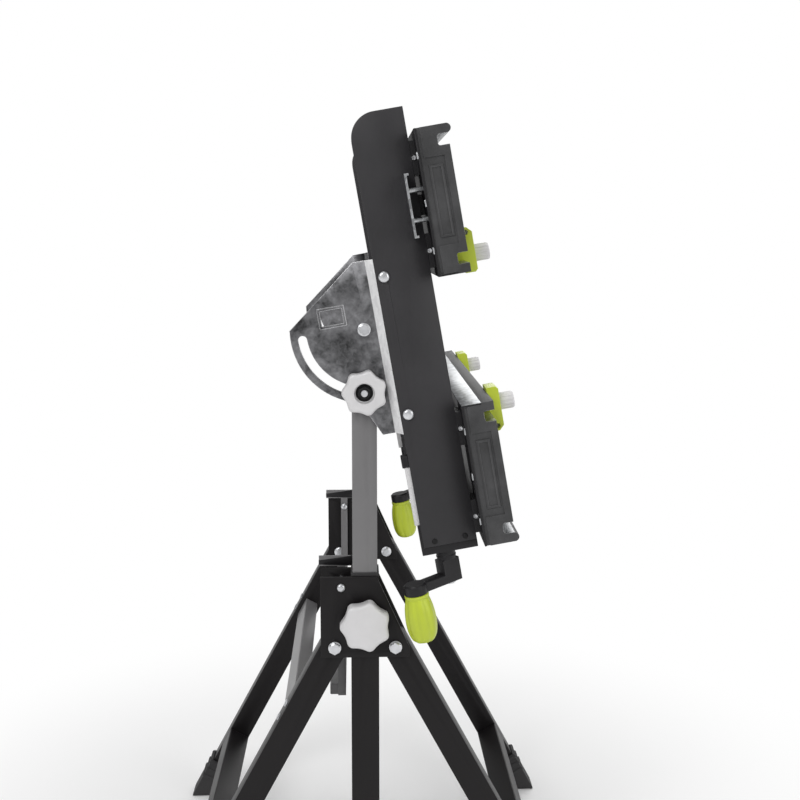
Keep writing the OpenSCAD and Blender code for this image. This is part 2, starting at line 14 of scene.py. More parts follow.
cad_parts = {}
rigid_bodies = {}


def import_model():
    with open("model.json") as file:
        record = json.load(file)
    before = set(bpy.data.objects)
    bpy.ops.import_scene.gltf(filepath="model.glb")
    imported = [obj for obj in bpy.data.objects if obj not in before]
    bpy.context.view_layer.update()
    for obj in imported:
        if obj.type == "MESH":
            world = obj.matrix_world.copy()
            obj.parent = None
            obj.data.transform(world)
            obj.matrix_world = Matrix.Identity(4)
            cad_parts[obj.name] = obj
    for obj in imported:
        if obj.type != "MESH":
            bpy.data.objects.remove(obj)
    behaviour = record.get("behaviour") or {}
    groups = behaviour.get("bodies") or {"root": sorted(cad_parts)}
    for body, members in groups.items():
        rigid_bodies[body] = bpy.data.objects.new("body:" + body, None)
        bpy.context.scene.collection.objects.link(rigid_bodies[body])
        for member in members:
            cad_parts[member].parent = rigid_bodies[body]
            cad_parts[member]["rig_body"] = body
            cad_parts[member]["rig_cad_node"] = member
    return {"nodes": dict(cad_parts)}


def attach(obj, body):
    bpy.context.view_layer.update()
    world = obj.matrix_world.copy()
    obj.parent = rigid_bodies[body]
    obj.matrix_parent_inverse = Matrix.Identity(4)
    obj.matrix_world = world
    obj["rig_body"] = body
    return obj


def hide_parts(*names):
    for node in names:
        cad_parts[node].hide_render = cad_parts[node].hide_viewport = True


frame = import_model()

Piece = bpy.types.Object
Socket = bpy.types.NodeSocket
Spot = tuple[str, tuple[float, float, float]]

LOG = logging.getLogger("workbench")
MM = 0.001
MERGE = 1e-5
WHITE = (1, 1, 1, 1)
PIVOT_HEIGHT = 0.790
TOP_TILT = math.radians(80)
# The tilted top's own frame, with its origin on the tilt axis.
TOP = Matrix.Translation((0, 0, PIVOT_HEIGHT)) @ Matrix.Rotation(TOP_TILT, 4, "Y")
INTO_TOP = TOP.inverted()
# The near side is the far side's mirror image.
FAR = Matrix.Identity(4)
NEAR = Matrix.Diagonal((1, -1, 1, 1))
SIDES = {"near": NEAR, "far": FAR}
SIGNS = {"near": -1, "far": 1}
MOVING_EDGE = Matrix.Translation((-48.0 * MM, 0, 0))
FIXED_EDGE = Matrix.Translation((102.0 * MM, 0, 0)) @ Matrix.Diagonal((-1, 1, 1, 1))
# Each jaw's body and its own frame, with its gripping edge at u = 0 and the jaw behind it.
JAWS = {"moving": ("rear_jaw", TOP @ MOVING_EDGE), "fixed": ("table", TOP @ FIXED_EDGE)}
SMOOTH_TURN = 38.0
M8 = 8
M8_HEAD = (13, 5.3)
M8_NUT = (13, 4)


class Slot(Enum):
    """Names of the material slots in the record."""

    BLACK_PAINT = "black_paint"
    CHARCOAL_PAINT = "charcoal_paint"
    GREY_PAINT = "grey_paint"
    ZINC = "zinc"
    JAW_COMPOSITE = "jaw_composite"
    BLACK_PLASTIC = "black_plastic"
    LIME_PLASTIC = "lime_plastic"
    LIGHT_PLASTIC = "light_plastic"


def linear(colour: tuple[float, float, float]) -> tuple[float, ...]:
    """Turns a screen's colour into the renderer's linear values by the sRGB curve.

    Args:
        colour: Red, green and blue from 0 to 255.

    Returns:
        Linear red, green, blue and an alpha of 1.
    """
    shares = [c / 255 for c in colour]
    values = [s / 12.92 if s <= 0.04045 else ((s + 0.055) / 1.055) ** 2.4 for s in shares]
    return (*values, 1.0)


def across(axis: str, x: float, y: float, z: float) -> list[Spot]:
    """Gives a spot and its mirror image on the other side of the bench.

    Args:
        axis: "y" or "-y", the way that the first piece faces.
        x: Place of both along X in millimetres.
        y: Place of the first one along Y.
        z: Place of both along Z.

    Returns:
        Both spots.
    """
    other = {"y": "-y", "-y": "y"}[axis]
    return [(axis, (x, y, z)), (other, (x, -y, z))]


class Graph:
    """A short way to write down the node tree of a material or a world."""

    def __init__(self, owner: bpy.types.Material | bpy.types.World) -> None:
        """Turns the owner's nodes on.

        Args:
            owner: The material or world.
        """
        owner.use_nodes = True
        self.tree = owner.node_tree

    def feed(self, node: bpy.types.Node | str, inputs: dict) -> None:
        """Links sockets to a node's inputs and sets the plain values.

        Args:
            node: The node or its name.
            inputs: A socket or a value for each input's name or number.
        """
        sockets = (self.tree.nodes[node] if isinstance(node, str) else node).inputs
        for key, value in inputs.items():
            if isinstance(value, Socket):
                self.tree.links.new(value, sockets[key])
            else:
                sockets[key].default_value = value

    def add(self, kind: str, inputs: dict, output: str | int = 0, **settings) -> Socket:
        """Adds a shader node.

        Args:
            kind: Its type, without "ShaderNode" in front.
            inputs: What its inputs get.
            output: Name or number of the output in use.
            settings: Its other settings.

        Returns:
            That output.
        """
        node = self.tree.nodes.new("ShaderNode" + kind)
        for name, value in settings.items():
            setattr(node, name, value)
        self.feed(node, inputs)
        return node.outputs[output]

    def calculate(self, operation: str, first: Socket, second: Socket | float) -> Socket:
        """Adds a calculation on two values.

        Args:
            operation: The kind of calculation.
            first: The first value.
            second: The second value.

        Returns:
            The result.
        """
        return self.add("Math", {0: first, 1: second}, operation=operation)

    def blend(self, share: Socket | float, low: Socket | tuple, high: Socket | tuple,
              data_type: str = "RGBA") -> Socket:
        """Adds a mix of two values.

        Args:
            share: How much of the second value there is.
            low: The first value.
            high: The second value.
            data_type: "RGBA" for colours and "FLOAT" for numbers.

        Returns:
            The result.
        """
        inputs = {"Factor": share, "A": low, "B": high}
        return self.add("Mix", inputs, "Result", data_type=data_type)


@dataclass(frozen=True)
class Finish:
    """A surface finish whose node tree every piece of that finish shares.

    The colour drifts in soft clouds, the edges are worn, and a fine relief breaks the gloss.
    """

    name: str
    colour: tuple[float, float, float]
    roughness: float = 0.5
    metallic: float = 0.0
    cloud_scale: float = 9.0
    cloud_depth: float = 0.12
    relief_scale: float = 900.0
    relief_depth: float = 0.06
    wear: float = 0.3
    wear_colour: tuple[float, float, float] = (150, 150, 152)
    coat: float = 0.0
    specular: float = 0.5

    CLOUD_RANGE = (0.3, 0.7)
    GLOSS_RANGE = (-0.08, 0.1)
    GLOSS_LIMITS = (0.05, 1.0)
    COAT_ROUGHNESS = 0.2
    RELIEF_HEIGHT = 0.0006
    EDGE_RADIUS = 0.0012
    EDGE_RANGE = (0.985, 0.86)

    def relief(self, graph: Graph, place: Socket) -> Socket:
        """Makes the fine relief of the surface.

        Args:
            graph: The material's nodes.
            place: The object coordinates.

        Returns:
            The height of the relief.
        """
        inputs = {"Scale": self.relief_scale, "Detail": 3, "Vector": place}
        return graph.add("TexNoise", inputs, "Fac")

    def clouds(self, graph: Graph, place: Socket) -> Socket:
        """Makes the slow drift of the colour.

        Args:
            graph: The material's nodes.
            place: The object coordinates.

        Returns:
            A share between the darker and the lighter colour.
        """
        inputs = {"Scale": self.cloud_scale, "Detail": 6, "Roughness": 0.62, "Vector": place}
        return graph.add("TexNoise", inputs, "Fac")

    def edges(self, graph: Graph, clouds: Socket) -> Socket:
        """Finds the rubbed edges, where a rounded normal departs from the true one.

        Args:
            graph: The material's nodes.
            clouds: The drift of the colour, which breaks up the wear.

        Returns:
            A share that is high along sharp edges.
        """
        rounded = graph.add("Bevel", {"Radius": self.EDGE_RADIUS}, samples=4)
        shape = graph.add("NewGeometry", {}, "Normal")
        turn = graph.add("VectorMath", {0: rounded, 1: shape}, "Value", operation="DOT_PRODUCT")
        flat, sharp = self.EDGE_RANGE
        found = graph.add("MapRange", {"From Min": flat, "From Max": sharp, "Value": turn})
        return graph.calculate("MULTIPLY", graph.calculate("MULTIPLY", found, clouds), self.wear)

    def make(self) -> bpy.types.Material:
        """Builds the finish's material.

        Returns:
            The new material.
        """
        material = bpy.data.materials.new(self.name)
        graph = Graph(material)
        place = graph.add("TexCoord", {}, "Object")
        clouds = self.clouds(graph, place)
        low, high = self.CLOUD_RANGE
        share = graph.add("MapRange", {"From Min": low, "From Max": high, "Value": clouds})
        base = linear(self.colour)[:3]
        dark, light = ((*(min(1.0, c * (1 + depth)) for c in base), 1.0)
                       for depth in (-self.cloud_depth, self.cloud_depth))
        tone = graph.blend(share, dark, light)
        worn = graph.blend(self.edges(graph, clouds), tone, linear(self.wear_colour))
        least, most = self.GLOSS_LIMITS
        smooth, rough = (min(most, max(least, self.roughness + s)) for s in self.GLOSS_RANGE)
        gloss = graph.add("MapRange", {"To Min": smooth, "To Max": rough, "Value": clouds})
        bump = graph.add("Bump", {"Strength": self.relief_depth, "Distance": self.RELIEF_HEIGHT,
                                  "Height": self.relief(graph, place)})
        graph.feed("Principled BSDF", {
            "Base Color": worn, "Metallic": self.metallic, "Roughness": gloss, "Normal": bump,
            "Specular IOR Level": self.specular, "Coat Weight": self.coat,
            "Coat Roughness": self.COAT_ROUGHNESS,
        })
        return material


@dataclass(frozen=True)
class SpangledZinc(Finish):
    """Zinc plate whose crystals lie in patches of different tone."""

    spangle_scale: float = 160.0
    spangle_share: float = 0.42

    def clouds(self, graph: Graph, place: Socket) -> Socket:
        """Lays crystal patches over the slow drift.

        Args:
            graph: The material's nodes.
            place: The object coordinates.

        Returns:
            A share between the darker and the lighter colour.
        """
        drift = super().clouds(graph, place)
        cells = graph.add("TexVoronoi", {"Scale": self.spangle_scale, "Vector": place}, "Color")
        grey = graph.add("SeparateColor", {"Color": cells}, "Red")
        return graph.blend(self.spangle_share, drift, grey, "FLOAT")


@dataclass(frozen=True)
class MottledPlate(Finish):
    """Dull plated sheet with soft dark blotches and pale scuffs."""

    warp: float = 0.5
    scuff_scale: float = 190.0
    scuff_share: float = 0.3

    def clouds(self, graph: Graph, place: Socket) -> Socket:
        """Lays soft blotches over fine scuffs.

        Args:
            graph: The material's nodes.
            place: The object coordinates.

        Returns:
            A share between the darker and the lighter colour.
        """
        blotches, scuffs = (
            graph.add("TexNoise", {"Scale": scale, "Detail": detail, "Distortion": self.warp,
                                   "Vector": place}, "Fac")
            for scale, detail in ((self.cloud_scale, 5), (self.scuff_scale, 4)))
        return graph.blend(self.scuff_share, blotches, scuffs, "FLOAT")


@dataclass(frozen=True)
class GrainedPlastic(Finish):
    """Moulded plastic with a leathery grain."""

    grain_scale: float = 700.0

    def relief(self, graph: Graph, place: Socket) -> Socket:
        """Makes a grain of small cells.

        Args:
            graph: The material's nodes.
            place: The object coordinates.

        Returns:
            The height of the grain.
        """
        inputs = {"Scale": self.grain_scale, "Vector": place}
        return graph.add("TexVoronoi", inputs, "Distance", feature="SMOOTH_F1")


@dataclass(frozen=True)
class RolledSteel(Finish):
    """Steel with fine lines along one direction."""

    line_stretch: tuple[float, float, float] = (40.0, 900.0, 900.0)

    def relief(self, graph: Graph, place: Socket) -> Socket:
        """Makes the rolled lines.

        Args:
            graph: The material's nodes.
            place: The object coordinates.

        Returns:
            The height of the lines.
        """
        lines = graph.add("Mapping", {"Scale": self.line_stretch, "Vector": place})
        return graph.add("TexNoise", {"Scale": 1.0, "Detail": 2, "Vector": lines}, "Fac")


FINISHES = {
    "leg": Finish("black_powder_paint", (24, 22, 23), 0.42, wear_colour=(84, 82, 84),
                  relief_scale=1500, relief_depth=0.1, specular=0.22),
    "beam": Finish("charcoal_powder_paint", (48, 47, 49), 0.46, wear=0.35,
                   wear_colour=(112, 112, 114), relief_scale=1500, relief_depth=0.1,
                   cloud_depth=0.2, specular=0.3),
    "post": Finish("grey_powder_paint", (112, 111, 112), 0.4, wear=0.35,
                   wear_colour=(175, 175, 177), relief_scale=1300, relief_depth=0.07,
                   cloud_depth=0.1, coat=0.1),
    "zinc": SpangledZinc("zinc_plate", (176, 178, 180), 0.33, 1.0, cloud_depth=0.3, wear=0.9,
                         wear_colour=(242, 242, 244), relief_depth=0.05),
    "plate": MottledPlate("mottled_plate", (112, 112, 114), 0.36, 0.9, cloud_scale=44,
                          cloud_depth=0.85, wear=1.6, wear_colour=(246, 246, 248),
                          relief_depth=0.08),
    # Near-white zinc for the quadrants' faces beyond the joggle: a painted highlight where the
    # fold catches the light.
    "bright": SpangledZinc("fold_painted_highlight", (246, 246, 247), 0.42, 0.15, cloud_scale=30,
                           cloud_depth=0.08, wear=1.0, wear_colour=(250, 250, 250),
                           relief_depth=0.05),
    "bolt": RolledSteel("plated_bolt_steel", (208, 209, 212), 0.28, 0.85, cloud_scale=60,
                        cloud_depth=0.2, wear=0.8, wear_colour=(245, 245, 246)),
    "screw": RolledSteel("turned_steel", (160, 161, 164), 0.3, 1.0, cloud_scale=30,
                         cloud_depth=0.2, wear=0.5, wear_colour=(235, 235, 236),
                         line_stretch=(900.0, 90.0, 90.0)),
    "jaw": GrainedPlastic("glass_filled_jaw", (59, 59, 60), 0.5, cloud_scale=22,
                          cloud_depth=0.42, grain_scale=520, relief_depth=0.22, wear=0.4,
                          wear_colour=(122, 122, 124), specular=0.35),
    "cast": GrainedPlastic("black_moulding", (27, 26, 28), 0.42, cloud_depth=0.16,
                           grain_scale=650, relief_depth=0.16, wear=0.35,
                           wear_colour=(88, 87, 90), specular=0.3),
    "rubber": GrainedPlastic("charcoal_rubber", (44, 43, 44), 0.72, cloud_depth=0.2,
                             grain_scale=420, relief_depth=0.3, wear_colour=(84, 84, 84)),
    "lime": GrainedPlastic("lime_moulding", (183, 198, 50), 0.4, cloud_scale=24,
                           cloud_depth=0.07, grain_scale=800, relief_depth=0.1, wear=0.5,
                           wear_colour=(214, 224, 120), coat=0.12),
    "knob": GrainedPlastic("pale_moulding", (206, 205, 206), 0.38, cloud_scale=26,
                           cloud_depth=0.05, grain_scale=800, relief_depth=0.08, wear=0.6,
                           wear_colour=(232, 232, 232), coat=0.15),
    "dark": Finish("shadowed_recess", (22, 22, 23), 0.6, wear=0.2, relief_depth=0.15,
                   specular=0.25),
}


class Workshop:
    """Modelling steps that the sub-assemblies share. Lengths are millimetres."""

    TURNS = {
        "x": Matrix.Rotation(math.pi / 2, 4, "Y"),
        "-x": Matrix.Rotation(-math.pi / 2, 4, "Y"),
        "y": Matrix.Rotation(-math.pi / 2, 4, "X"),
        "-y": Matrix.Rotation(math.pi / 2, 4, "X"),
        "z": Matrix.Identity(4),
    }
    FLAT_TURN = 0.5
    CHAMFER = 0.6
    HEAD_FOOT = 0.4
    CROWN = 0.86
    DISH = (0.3, 0.2)
    WASHER = ((1.2, 0), (1.2, 0.9), (1.1, 1.2))
    DOME = ((1, 0), (1, 0.45), (0.9, 0.75), (0.66, 0.94), (0.3, 1))

    def __init__(self) -> None:
        """Makes every finish once."""
        self.palette = {key: finish.make() for key, finish in FINISHES.items()}

    @staticmethod
    def pick(obj: Piece) -> None:
        """Makes one object the only one selected.

        Args:
            obj: The object.
        """
        bpy.ops.object.select_all(action="DESELECT")
        bpy.context.view_layer.objects.active = obj
        obj.select_set(True)

    @contextmanager
    def editing(self, obj: Piece, test: Callable = lambda part: True,
                kind: str = "FACE") -> Iterator[None]:
        """Edits an object with the faces or points selected that a test picks.

        Args:
            obj: The object.
            test: Takes a face or a point and tells whether it is picked.
            kind: "FACE" or "VERT".

        Yields:
            Nothing, while the object is in edit mode.
        """
        self.pick(obj)
        bpy.ops.object.mode_set(mode="EDIT")
        bpy.ops.mesh.select_mode(type=kind)
        bpy.ops.mesh.select_all(action="DESELECT")
        bpy.ops.object.mode_set(mode="OBJECT")
        for part in obj.data.polygons if kind == "FACE" else obj.data.vertices:
            part.select = bool(test(part))
        bpy.ops.object.mode_set(mode="EDIT")
        yield
        bpy.ops.object.mode_set(mode="OBJECT")

    def modify(self, obj: Piece, kind: str, live: bool = False, **settings) -> None:
        """Gives an object a modifier.

        Args:
            obj: The object.
            kind: The modifier's type.
            live: Whether it stays on the object, or is applied at once.
            settings: Its settings.
        """
        modifier = obj.modifiers.new(kind.lower(), kind)
        for name, value in settings.items():
            setattr(modifier, name, value)
        if not live:
            self.pick(obj)
            bpy.ops.object.modifier_apply(modifier=modifier.name)

    def round_edges(self, obj: Piece, width: float, segments: int = 2, angle: float = 32.0,
                    live: bool = False) -> None:
        """Rounds the edges that are sharper than an angle.

        Args:
            obj: The object.
            width: Width of the rounding, or 0.
            segments: Steps of the rounding.
            angle: Smallest turn of an edge in degrees.
            live: Whether the modifier stays on the object.
        """
        if width:
            self.modify(obj, "BEVEL", live, width=width * MM, segments=segments,
                        limit_method="ANGLE", angle_limit=math.radians(angle),
                        use_clamp_overlap=True)

    def settle(self, obj: Piece, place: Matrix, smooth: float = SMOOTH_TURN) -> None:
        """Puts an object's place into its mesh and mends its faces.

        Args:
            obj: The object.
            place: Where its own frame lies in the world.
            smooth: Edges flatter than this many degrees are shaded smooth.
        """
        self.pick(obj)
        obj.matrix_world = place @ obj.matrix_world
        bpy.ops.object.transform_apply(location=True, rotation=True, scale=True)
        with self.editing(obj, kind="VERT"):
            bpy.ops.mesh.remove_doubles(threshold=MERGE)
            bpy.ops.mesh.normals_make_consistent(inside=False)
        bpy.ops.object.shade_smooth_by_angle(angle=math.radians(smooth))

    def wear_finish(self, obj: Piece, finish: str, slot: Slot, body: str, *nodes: str) -> None:
        """Gives a piece its finish and body.

        Args:
            obj: The piece.
            finish: Short name of the finish.
            slot: The record's slot. Not used.
            body: The body that it rides on.
            nodes: The CAD nodes that it stands for.
        """
        obj.data.materials.clear()
        obj.data.materials.append(self.palette[finish])
        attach(obj, body)
        if nodes:
            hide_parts(*nodes)

    def second_finish(self, obj: Piece, finish: str, test: Callable) -> None:
        """Gives some faces of a dressed piece another finish.

        Args:
            obj: The piece.
            finish: Short name of the other finish.
            test: Takes a face and tells whether it gets that finish.
        """
        obj.data.materials.append(self.palette[finish])
        obj.active_material_index = len(obj.data.materials) - 1
        with self.editing(obj, test):
            bpy.ops.object.material_slot_assign()

    def block(self, name: str, low: tuple, high: tuple, rounding: float = 0.6,
              segments: int = 2) -> Piece:
        """Makes a rounded block between two corners.

        Args:
            name: The object's name.
            low: One corner.
            high: The corner across from it.
            rounding: Width of the rounded edges, or 0.
            segments: Steps of the rounding.

        Returns:
            The block.
        """
        bpy.ops.object.select_all(action="DESELECT")
        start, end = Vector(map(min, low, high)) * MM, Vector(map(max, low, high)) * MM
        bpy.ops.mesh.primitive_cube_add(size=1, location=(start + end) / 2, scale=end - start)
        obj = bpy.context.object
        obj.name = name
        bpy.ops.object.transform_apply(location=True, rotation=True, scale=True)
        self.round_edges(obj, rounding, segments, 30)
        return obj

    def turned(self, name: str, profile: tuple | list, count: int = 48, lobes: tuple = (),
               radius: float = 1.0) -> Piece:
        """Draws a round piece up along Z, ring by ring.

        Args:
            name: The object's name.
            profile: Pairs of a radius and a height.
            count: Points round the rim.
            lobes: Shares of the radius for the points of one lobe, repeated round the rim.
            radius: What the profile's radii are multiplied by.

        Returns:
            The piece.
        """
        foot = (0, 0, profile[0][1] * MM)
        bpy.ops.object.select_all(action="DESELECT")
        bpy.ops.mesh.primitive_circle_add(vertices=count, radius=profile[0][0] * radius * MM,
                                          fill_type="NGON", location=foot)
        obj = bpy.context.object
        obj.name = name
        bpy.ops.object.transform_apply(location=True, rotation=True, scale=True)
        for share in sorted(set(lobes)):
            places = {k for k, value in enumerate(lobes) if value == share}
            with self.editing(obj, lambda v: v.index % len(lobes) in places, "VERT"):
                bpy.ops.transform.resize(value=(share, share, 1), center_override=foot)
        with self.editing(obj):
            for (r0, z0), (r1, z1) in zip(profile, profile[1:]):
                step = {"value": (0, 0, (z1 - z0) * MM)}
                bpy.ops.mesh.extrude_region_move(TRANSFORM_OT_translate=step)
                if r1 != r0:
                    centre = (0, 0, z1 * MM)
                    bpy.ops.transform.resize(value=(r1 / r0, r1 / r0, 1), center_override=centre)
        return obj

    def hexagon(self, name: str, width: float, height: float) -> Piece:
        """Makes a bolt head with a chamfered crown and a washer face, standing on Z = 0.

        Args:
            name: The object's name.
            width: Width across the flats.
            height: Height of the head.

        Returns:
            The head.
        """
        hollow, dip = self.DISH
        profile = [(1, self.HEAD_FOOT), (1, self.CROWN * height), (self.CROWN, height),
                   (hollow, height - dip)]
        head = self.turned(name, profile, 6, radius=width / 2 / math.cos(math.pi / 6))
        return self.join(head, self.turned(name, self.WASHER, 36, radius=width / 2))

    def dome(self, name: str, width: float, height: float) -> Piece:
        """Makes a domed rivet head, standing on Z = 0.

        Args:
            name: The object's name.
            width: Diameter.
            height: Height of the head.

        Returns:
            The head.
        """
        profile = [(share, z * height) for share, z in self.DOME]
        return self.turned(name, profile, 32, radius=width / 2)

    def shanks(self, name: str, width: float, start: float, end: float, x: float,
               z: float) -> list[Piece]:
        """Makes a chamfered shank along Y on each side of the bench.

        Args:
            name: The objects' name.
            width: Diameter.
            start: Inner end of the far one along Y.
            end: Outer end of the far one along Y.
            x: Their place along X.
            z: Their place along Z.

        Returns:
            Both shanks.
        """
        r, length, cut = width / 2, end - start, self.CHAMFER
        profile = [(r - cut, 0), (r, cut), (r, length - cut), (r - cut, length)]
        rods = []
        for foot in (start, -end):
            rod = self.turned(name, profile, 32)
            self.settle(rod, self.facing("y", (x, foot, z)))
            rods.append(rod)
        return rods

    def through_bolts(self, name: str, head_y: float, nut_y: float, shank: tuple, xs: tuple,
                      z: float) -> Piece:
        """Builds M8 bolts on both sides of the bench, with heads outside and nuts inside.

        Args:
            name: First words of the pieces' names.
            head_y: Where the heads sit along Y.
            nut_y: Where the nuts sit along Y.
            shank: Where the shanks start and end along Y.
            xs: The bolts' places along X.
            z: Their place along Z.

        Returns:
            All of them as one object.
        """
        outer = [spot for x in xs for spot in across("y", x, head_y, z)]
        inner = [spot for x in xs for spot in across("-y", x, nut_y, z)]
        return self.join(self.spread(self.hexagon(name + "_heads", *M8_HEAD), outer),
                         self.spread(self.hexagon(name + "_nuts", *M8_NUT), inner),
                         *(rod for x in xs for rod in self.shanks(name, M8, *shank, x, z)))

    def spread(self, model: Piece, spots: list[Spot], place: Matrix = FAR) -> Piece:
        """Copies a small piece to every spot and joins the copies.

        Args:
            model: The piece, standing on Z = 0.
            spots: Where the copies go.
            place: The frame of the spots.

        Returns:
            The joined copies, under the model's name.
        """
        name = model.name
        copies = [self.copy(model, name) for _ in spots[1:]] + [model]
        for (axis, at), twin in zip(spots, copies):
            self.settle(twin, place @ self.facing(axis, at))
        return self.join(*copies, name=name)

    def join(self, first: Piece, *others: Piece, name: str = "") -> Piece:
        """Joins objects into the first one.

        Args:
            first: The object that stays.
            others: The objects that it takes in.
            name: Its new name, if it gets one.

        Returns:
            The first object.
        """
        self.pick(first)
        if others:
            for other in others:
                other.select_set(True)
            bpy.ops.object.join()
        first.name = name or first.name
        return first

    def copy(self, obj: Piece, name: str) -> Piece:
        """Copies an object with a mesh of its own.

        Args:
            obj: The object to copy.
            name: The copy's name.

        Returns:
            The copy.
        """
        self.pick(obj)
        bpy.ops.object.duplicate(linked=False)
        twin = bpy.context.object
        twin.name = name
        return twin

    def dress(self, finish: str, rounding: float, *nodes: str) -> None:
        """Gives CAD nodes a finish and rounded edges without changing their meshes.

        Args:
            finish: Short name of the finish.
            rounding: Width of the rounded edges.
            nodes: The nodes' names.
        """
        for name in nodes:
            node = frame["nodes"][name]
            for slot in node.material_slots:
                slot.material = self.palette[finish]
            if not node.material_slots:
                node.data.materials.append(self.palette[finish])
            self.modify(node, "WELD", True, merge_threshold=MERGE)
            self.round_edges(node, rounding, live=True)

    def skin(self, node: str, name: str, finish: str, slot: Slot, rounding: float,
             segments: int = 2) -> Piece:
        """Replaces a CAD node with a merged and rounded copy.

        Args:
            node: The CAD node.
            name: The copy's name.
            finish: Short name of the finish.
            slot: The record's slot.
            rounding: Width of the rounded edges.
            segments: Steps of the rounding.

        Returns:
            The copy, dressed and on the node's body.
        """
        source = frame["nodes"][node]
        twin = self.copy(source, name)
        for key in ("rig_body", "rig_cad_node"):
            if key in twin:
                del twin[key]
        twin.parent = None
        twin.matrix_world = FAR
        with self.editing(twin, kind="VERT"):
            bpy.ops.mesh.remove_doubles(threshold=MERGE)
            bpy.ops.mesh.dissolve_limited(angle_limit=math.radians(self.FLAT_TURN))
        self.round_edges(twin, rounding, segments)
        bpy.ops.object.shade_smooth_by_angle(angle=math.radians(SMOOTH_TURN))
        self.wear_finish(twin, finish, slot, source["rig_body"], node)
        return twin

    def recast(self, finish: str, slot: Slot, rounding: float, *nodes: str) -> None:
        """Replaces CAD nodes with copies that are named after them.

        Args:
            finish: Short name of the finish.
            slot: The record's slot.
            rounding: Width of the rounded edges.
            nodes: The nodes' names.
        """
        for node in nodes:
            self.skin(node, node + "_skin", finish, slot, rounding)

    def facing(self, axis: str, at: tuple) -> Matrix:
        """Turns a piece that stands on Z so that it points along another axis.

        Args:
            axis: "x", "-x", "y", "-y" or "z" in the frame that the piece goes into.
            at: Where its foot lies, in millimetres.

        Returns:
            The placing.
        """
        return Matrix.Translation(Vector(at) * MM) @ self.TURNS[axis]


@dataclass
class SubAssembly:
    """A group of pieces that the workshop builds and dresses together."""

    shop: Workshop

    def add(self, obj: Piece, place: Matrix, finish: str, slot: Slot, body: str, *nodes: str,
            smooth: float = SMOOTH_TURN) -> None:
        """Puts a piece in its place and dresses it.

        Args:
            obj: The piece.
            place: Where its own frame lies in the world.
            finish: Short name of the finish.
            slot: The record's slot.
            body: The body that it rides on.
            nodes: The CAD nodes that it stands for.
            smooth: Edges flatter than this many degrees are shaded smooth.
        """
        self.shop.settle(obj, place, smooth)
        self.shop.wear_finish(obj, finish, slot, body, *nodes)


@dataclass
class Stand(SubAssembly):
    """Centre tubes, hub plates and their bolts."""

    bolt_xs: tuple = (-37.0, 37.0)
    bolt_z: float = 402.0
    bolt_shank: tuple = (176.5, 223)
    hub_in: float = 180.0
    hub_out: float = 220.0
    pin_x: float = -29.0
    pin_z: float = 477.5
    arm_in: float = 172.4
    pin_head: tuple = (10, 4)
    pin_collar: tuple = (10, 176.0, 180.0)
    pin_rod: tuple = (6, 169.4, 222)

    def build(self) -> None:
        """Dresses the plates and tubes and builds the bolts."""
        shop = self.shop
        shop.recast("leg", Slot.BLACK_PAINT, 0.6, "hub_outer_near", "hub_outer_far",
                    "hub_inner_near", "hub_inner_far", "sleeve_near", "sleeve_far")
        shop.dress("rubber", 0.8, "sleeve_collars")
        bolts = shop.through_bolts("leg_bolt", self.hub_out, self.hub_in, self.bolt_shank,
                                   self.bolt_xs, self.bolt_z)
        shop.wear_finish(bolts, "bolt", Slot.ZINC, "stand", "leg_bolts")
        x, z = self.pin_x, self.pin_z
        spots = across("y", x, self.hub_out, z) + across("-y", x, self.arm_in, z)
        pins = shop.join(shop.spread(shop.dome("latch_pin_heads", *self.pin_head), spots),
                         *shop.shanks("latch_pin_collar", *self.pin_collar, x, z),
                         *shop.shanks("latch_pin_rod", *self.pin_rod, x, z))
        shop.wear_finish(pins, "bolt", Slot.ZINC, "stand", "latch_pins")
        LOG.info("stand: 7 dressed nodes and 2 sets of bolts")


@dataclass
class Legs(SubAssembly):
    """Four splayed legs with their bars and boots."""

    splay: float = 28.5
    bolt_x: float = 37.0
    bolt_z: float = 402.0
    leg_ys: tuple = (-200.0, 200.0)
    half_w: float = 20.4
    half_d: float = 19.4
    band: float = 5.0
    bands: tuple = (-429.8, -417.8, -405.8)
    brace_bolts: tuple = (-97, -117)
    brace_face: float = -16.0
    brace_head: tuple = (8, 2.5)

    def along(self, side: int) -> Matrix:
        """Gives the frame of a leg, with its origin at the leg's bolt and Z up the leg.

        Args:
            side: -1 for a left leg and 1 for a right one.

        Returns:
            The frame.
        """
        turn = Matrix.Rotation(math.radians(-side * self.splay), 4, "Y")
        return Matrix.Translation((side * self.bolt_x * MM, 0, self.bolt_z * MM)) @ turn

    def build(self) -> None:
        """Dresses the legs and builds the bands round their boots and the brace's bolts."""
        shop = self.shop
        shop.recast("leg", Slot.BLACK_PAINT, 1.6, "left_leg_near", "left_leg_far",
                    "right_leg_near", "right_leg_far")
        shop.dress("leg", 1.4, "left_foot_bar", "right_foot_bar")
        shop.dress("post", 1.2, "left_brace")
        shop.dress("rubber", 1.6, "left_feet", "right_feet")
        for word, side in (("left", -1), ("right", 1)):
            rings = [shop.block("boot_bands", (-self.half_w, y - self.half_d, down),
                                (self.half_w, y + self.half_d, down + self.band), 1.4, 3)
                     for y in self.leg_ys for down in self.bands]
            self.add(shop.join(*rings, name="boot_bands_" + word), self.along(side), "rubber",
                     Slot.BLACK_PLASTIC, word + "_legs")
        spots = [("-x", (self.brace_face, y, down))
                 for y in self.leg_ys for down in self.brace_bolts]
        heads = shop.hexagon("brace_bolts", *self.brace_head)
        bolts = shop.spread(heads, spots, self.along(-1))
        shop.wear_finish(bolts, "bolt", Slot.ZINC, "left_legs")
        LOG.info("legs: 9 dressed nodes, boot bands and brace bolts")


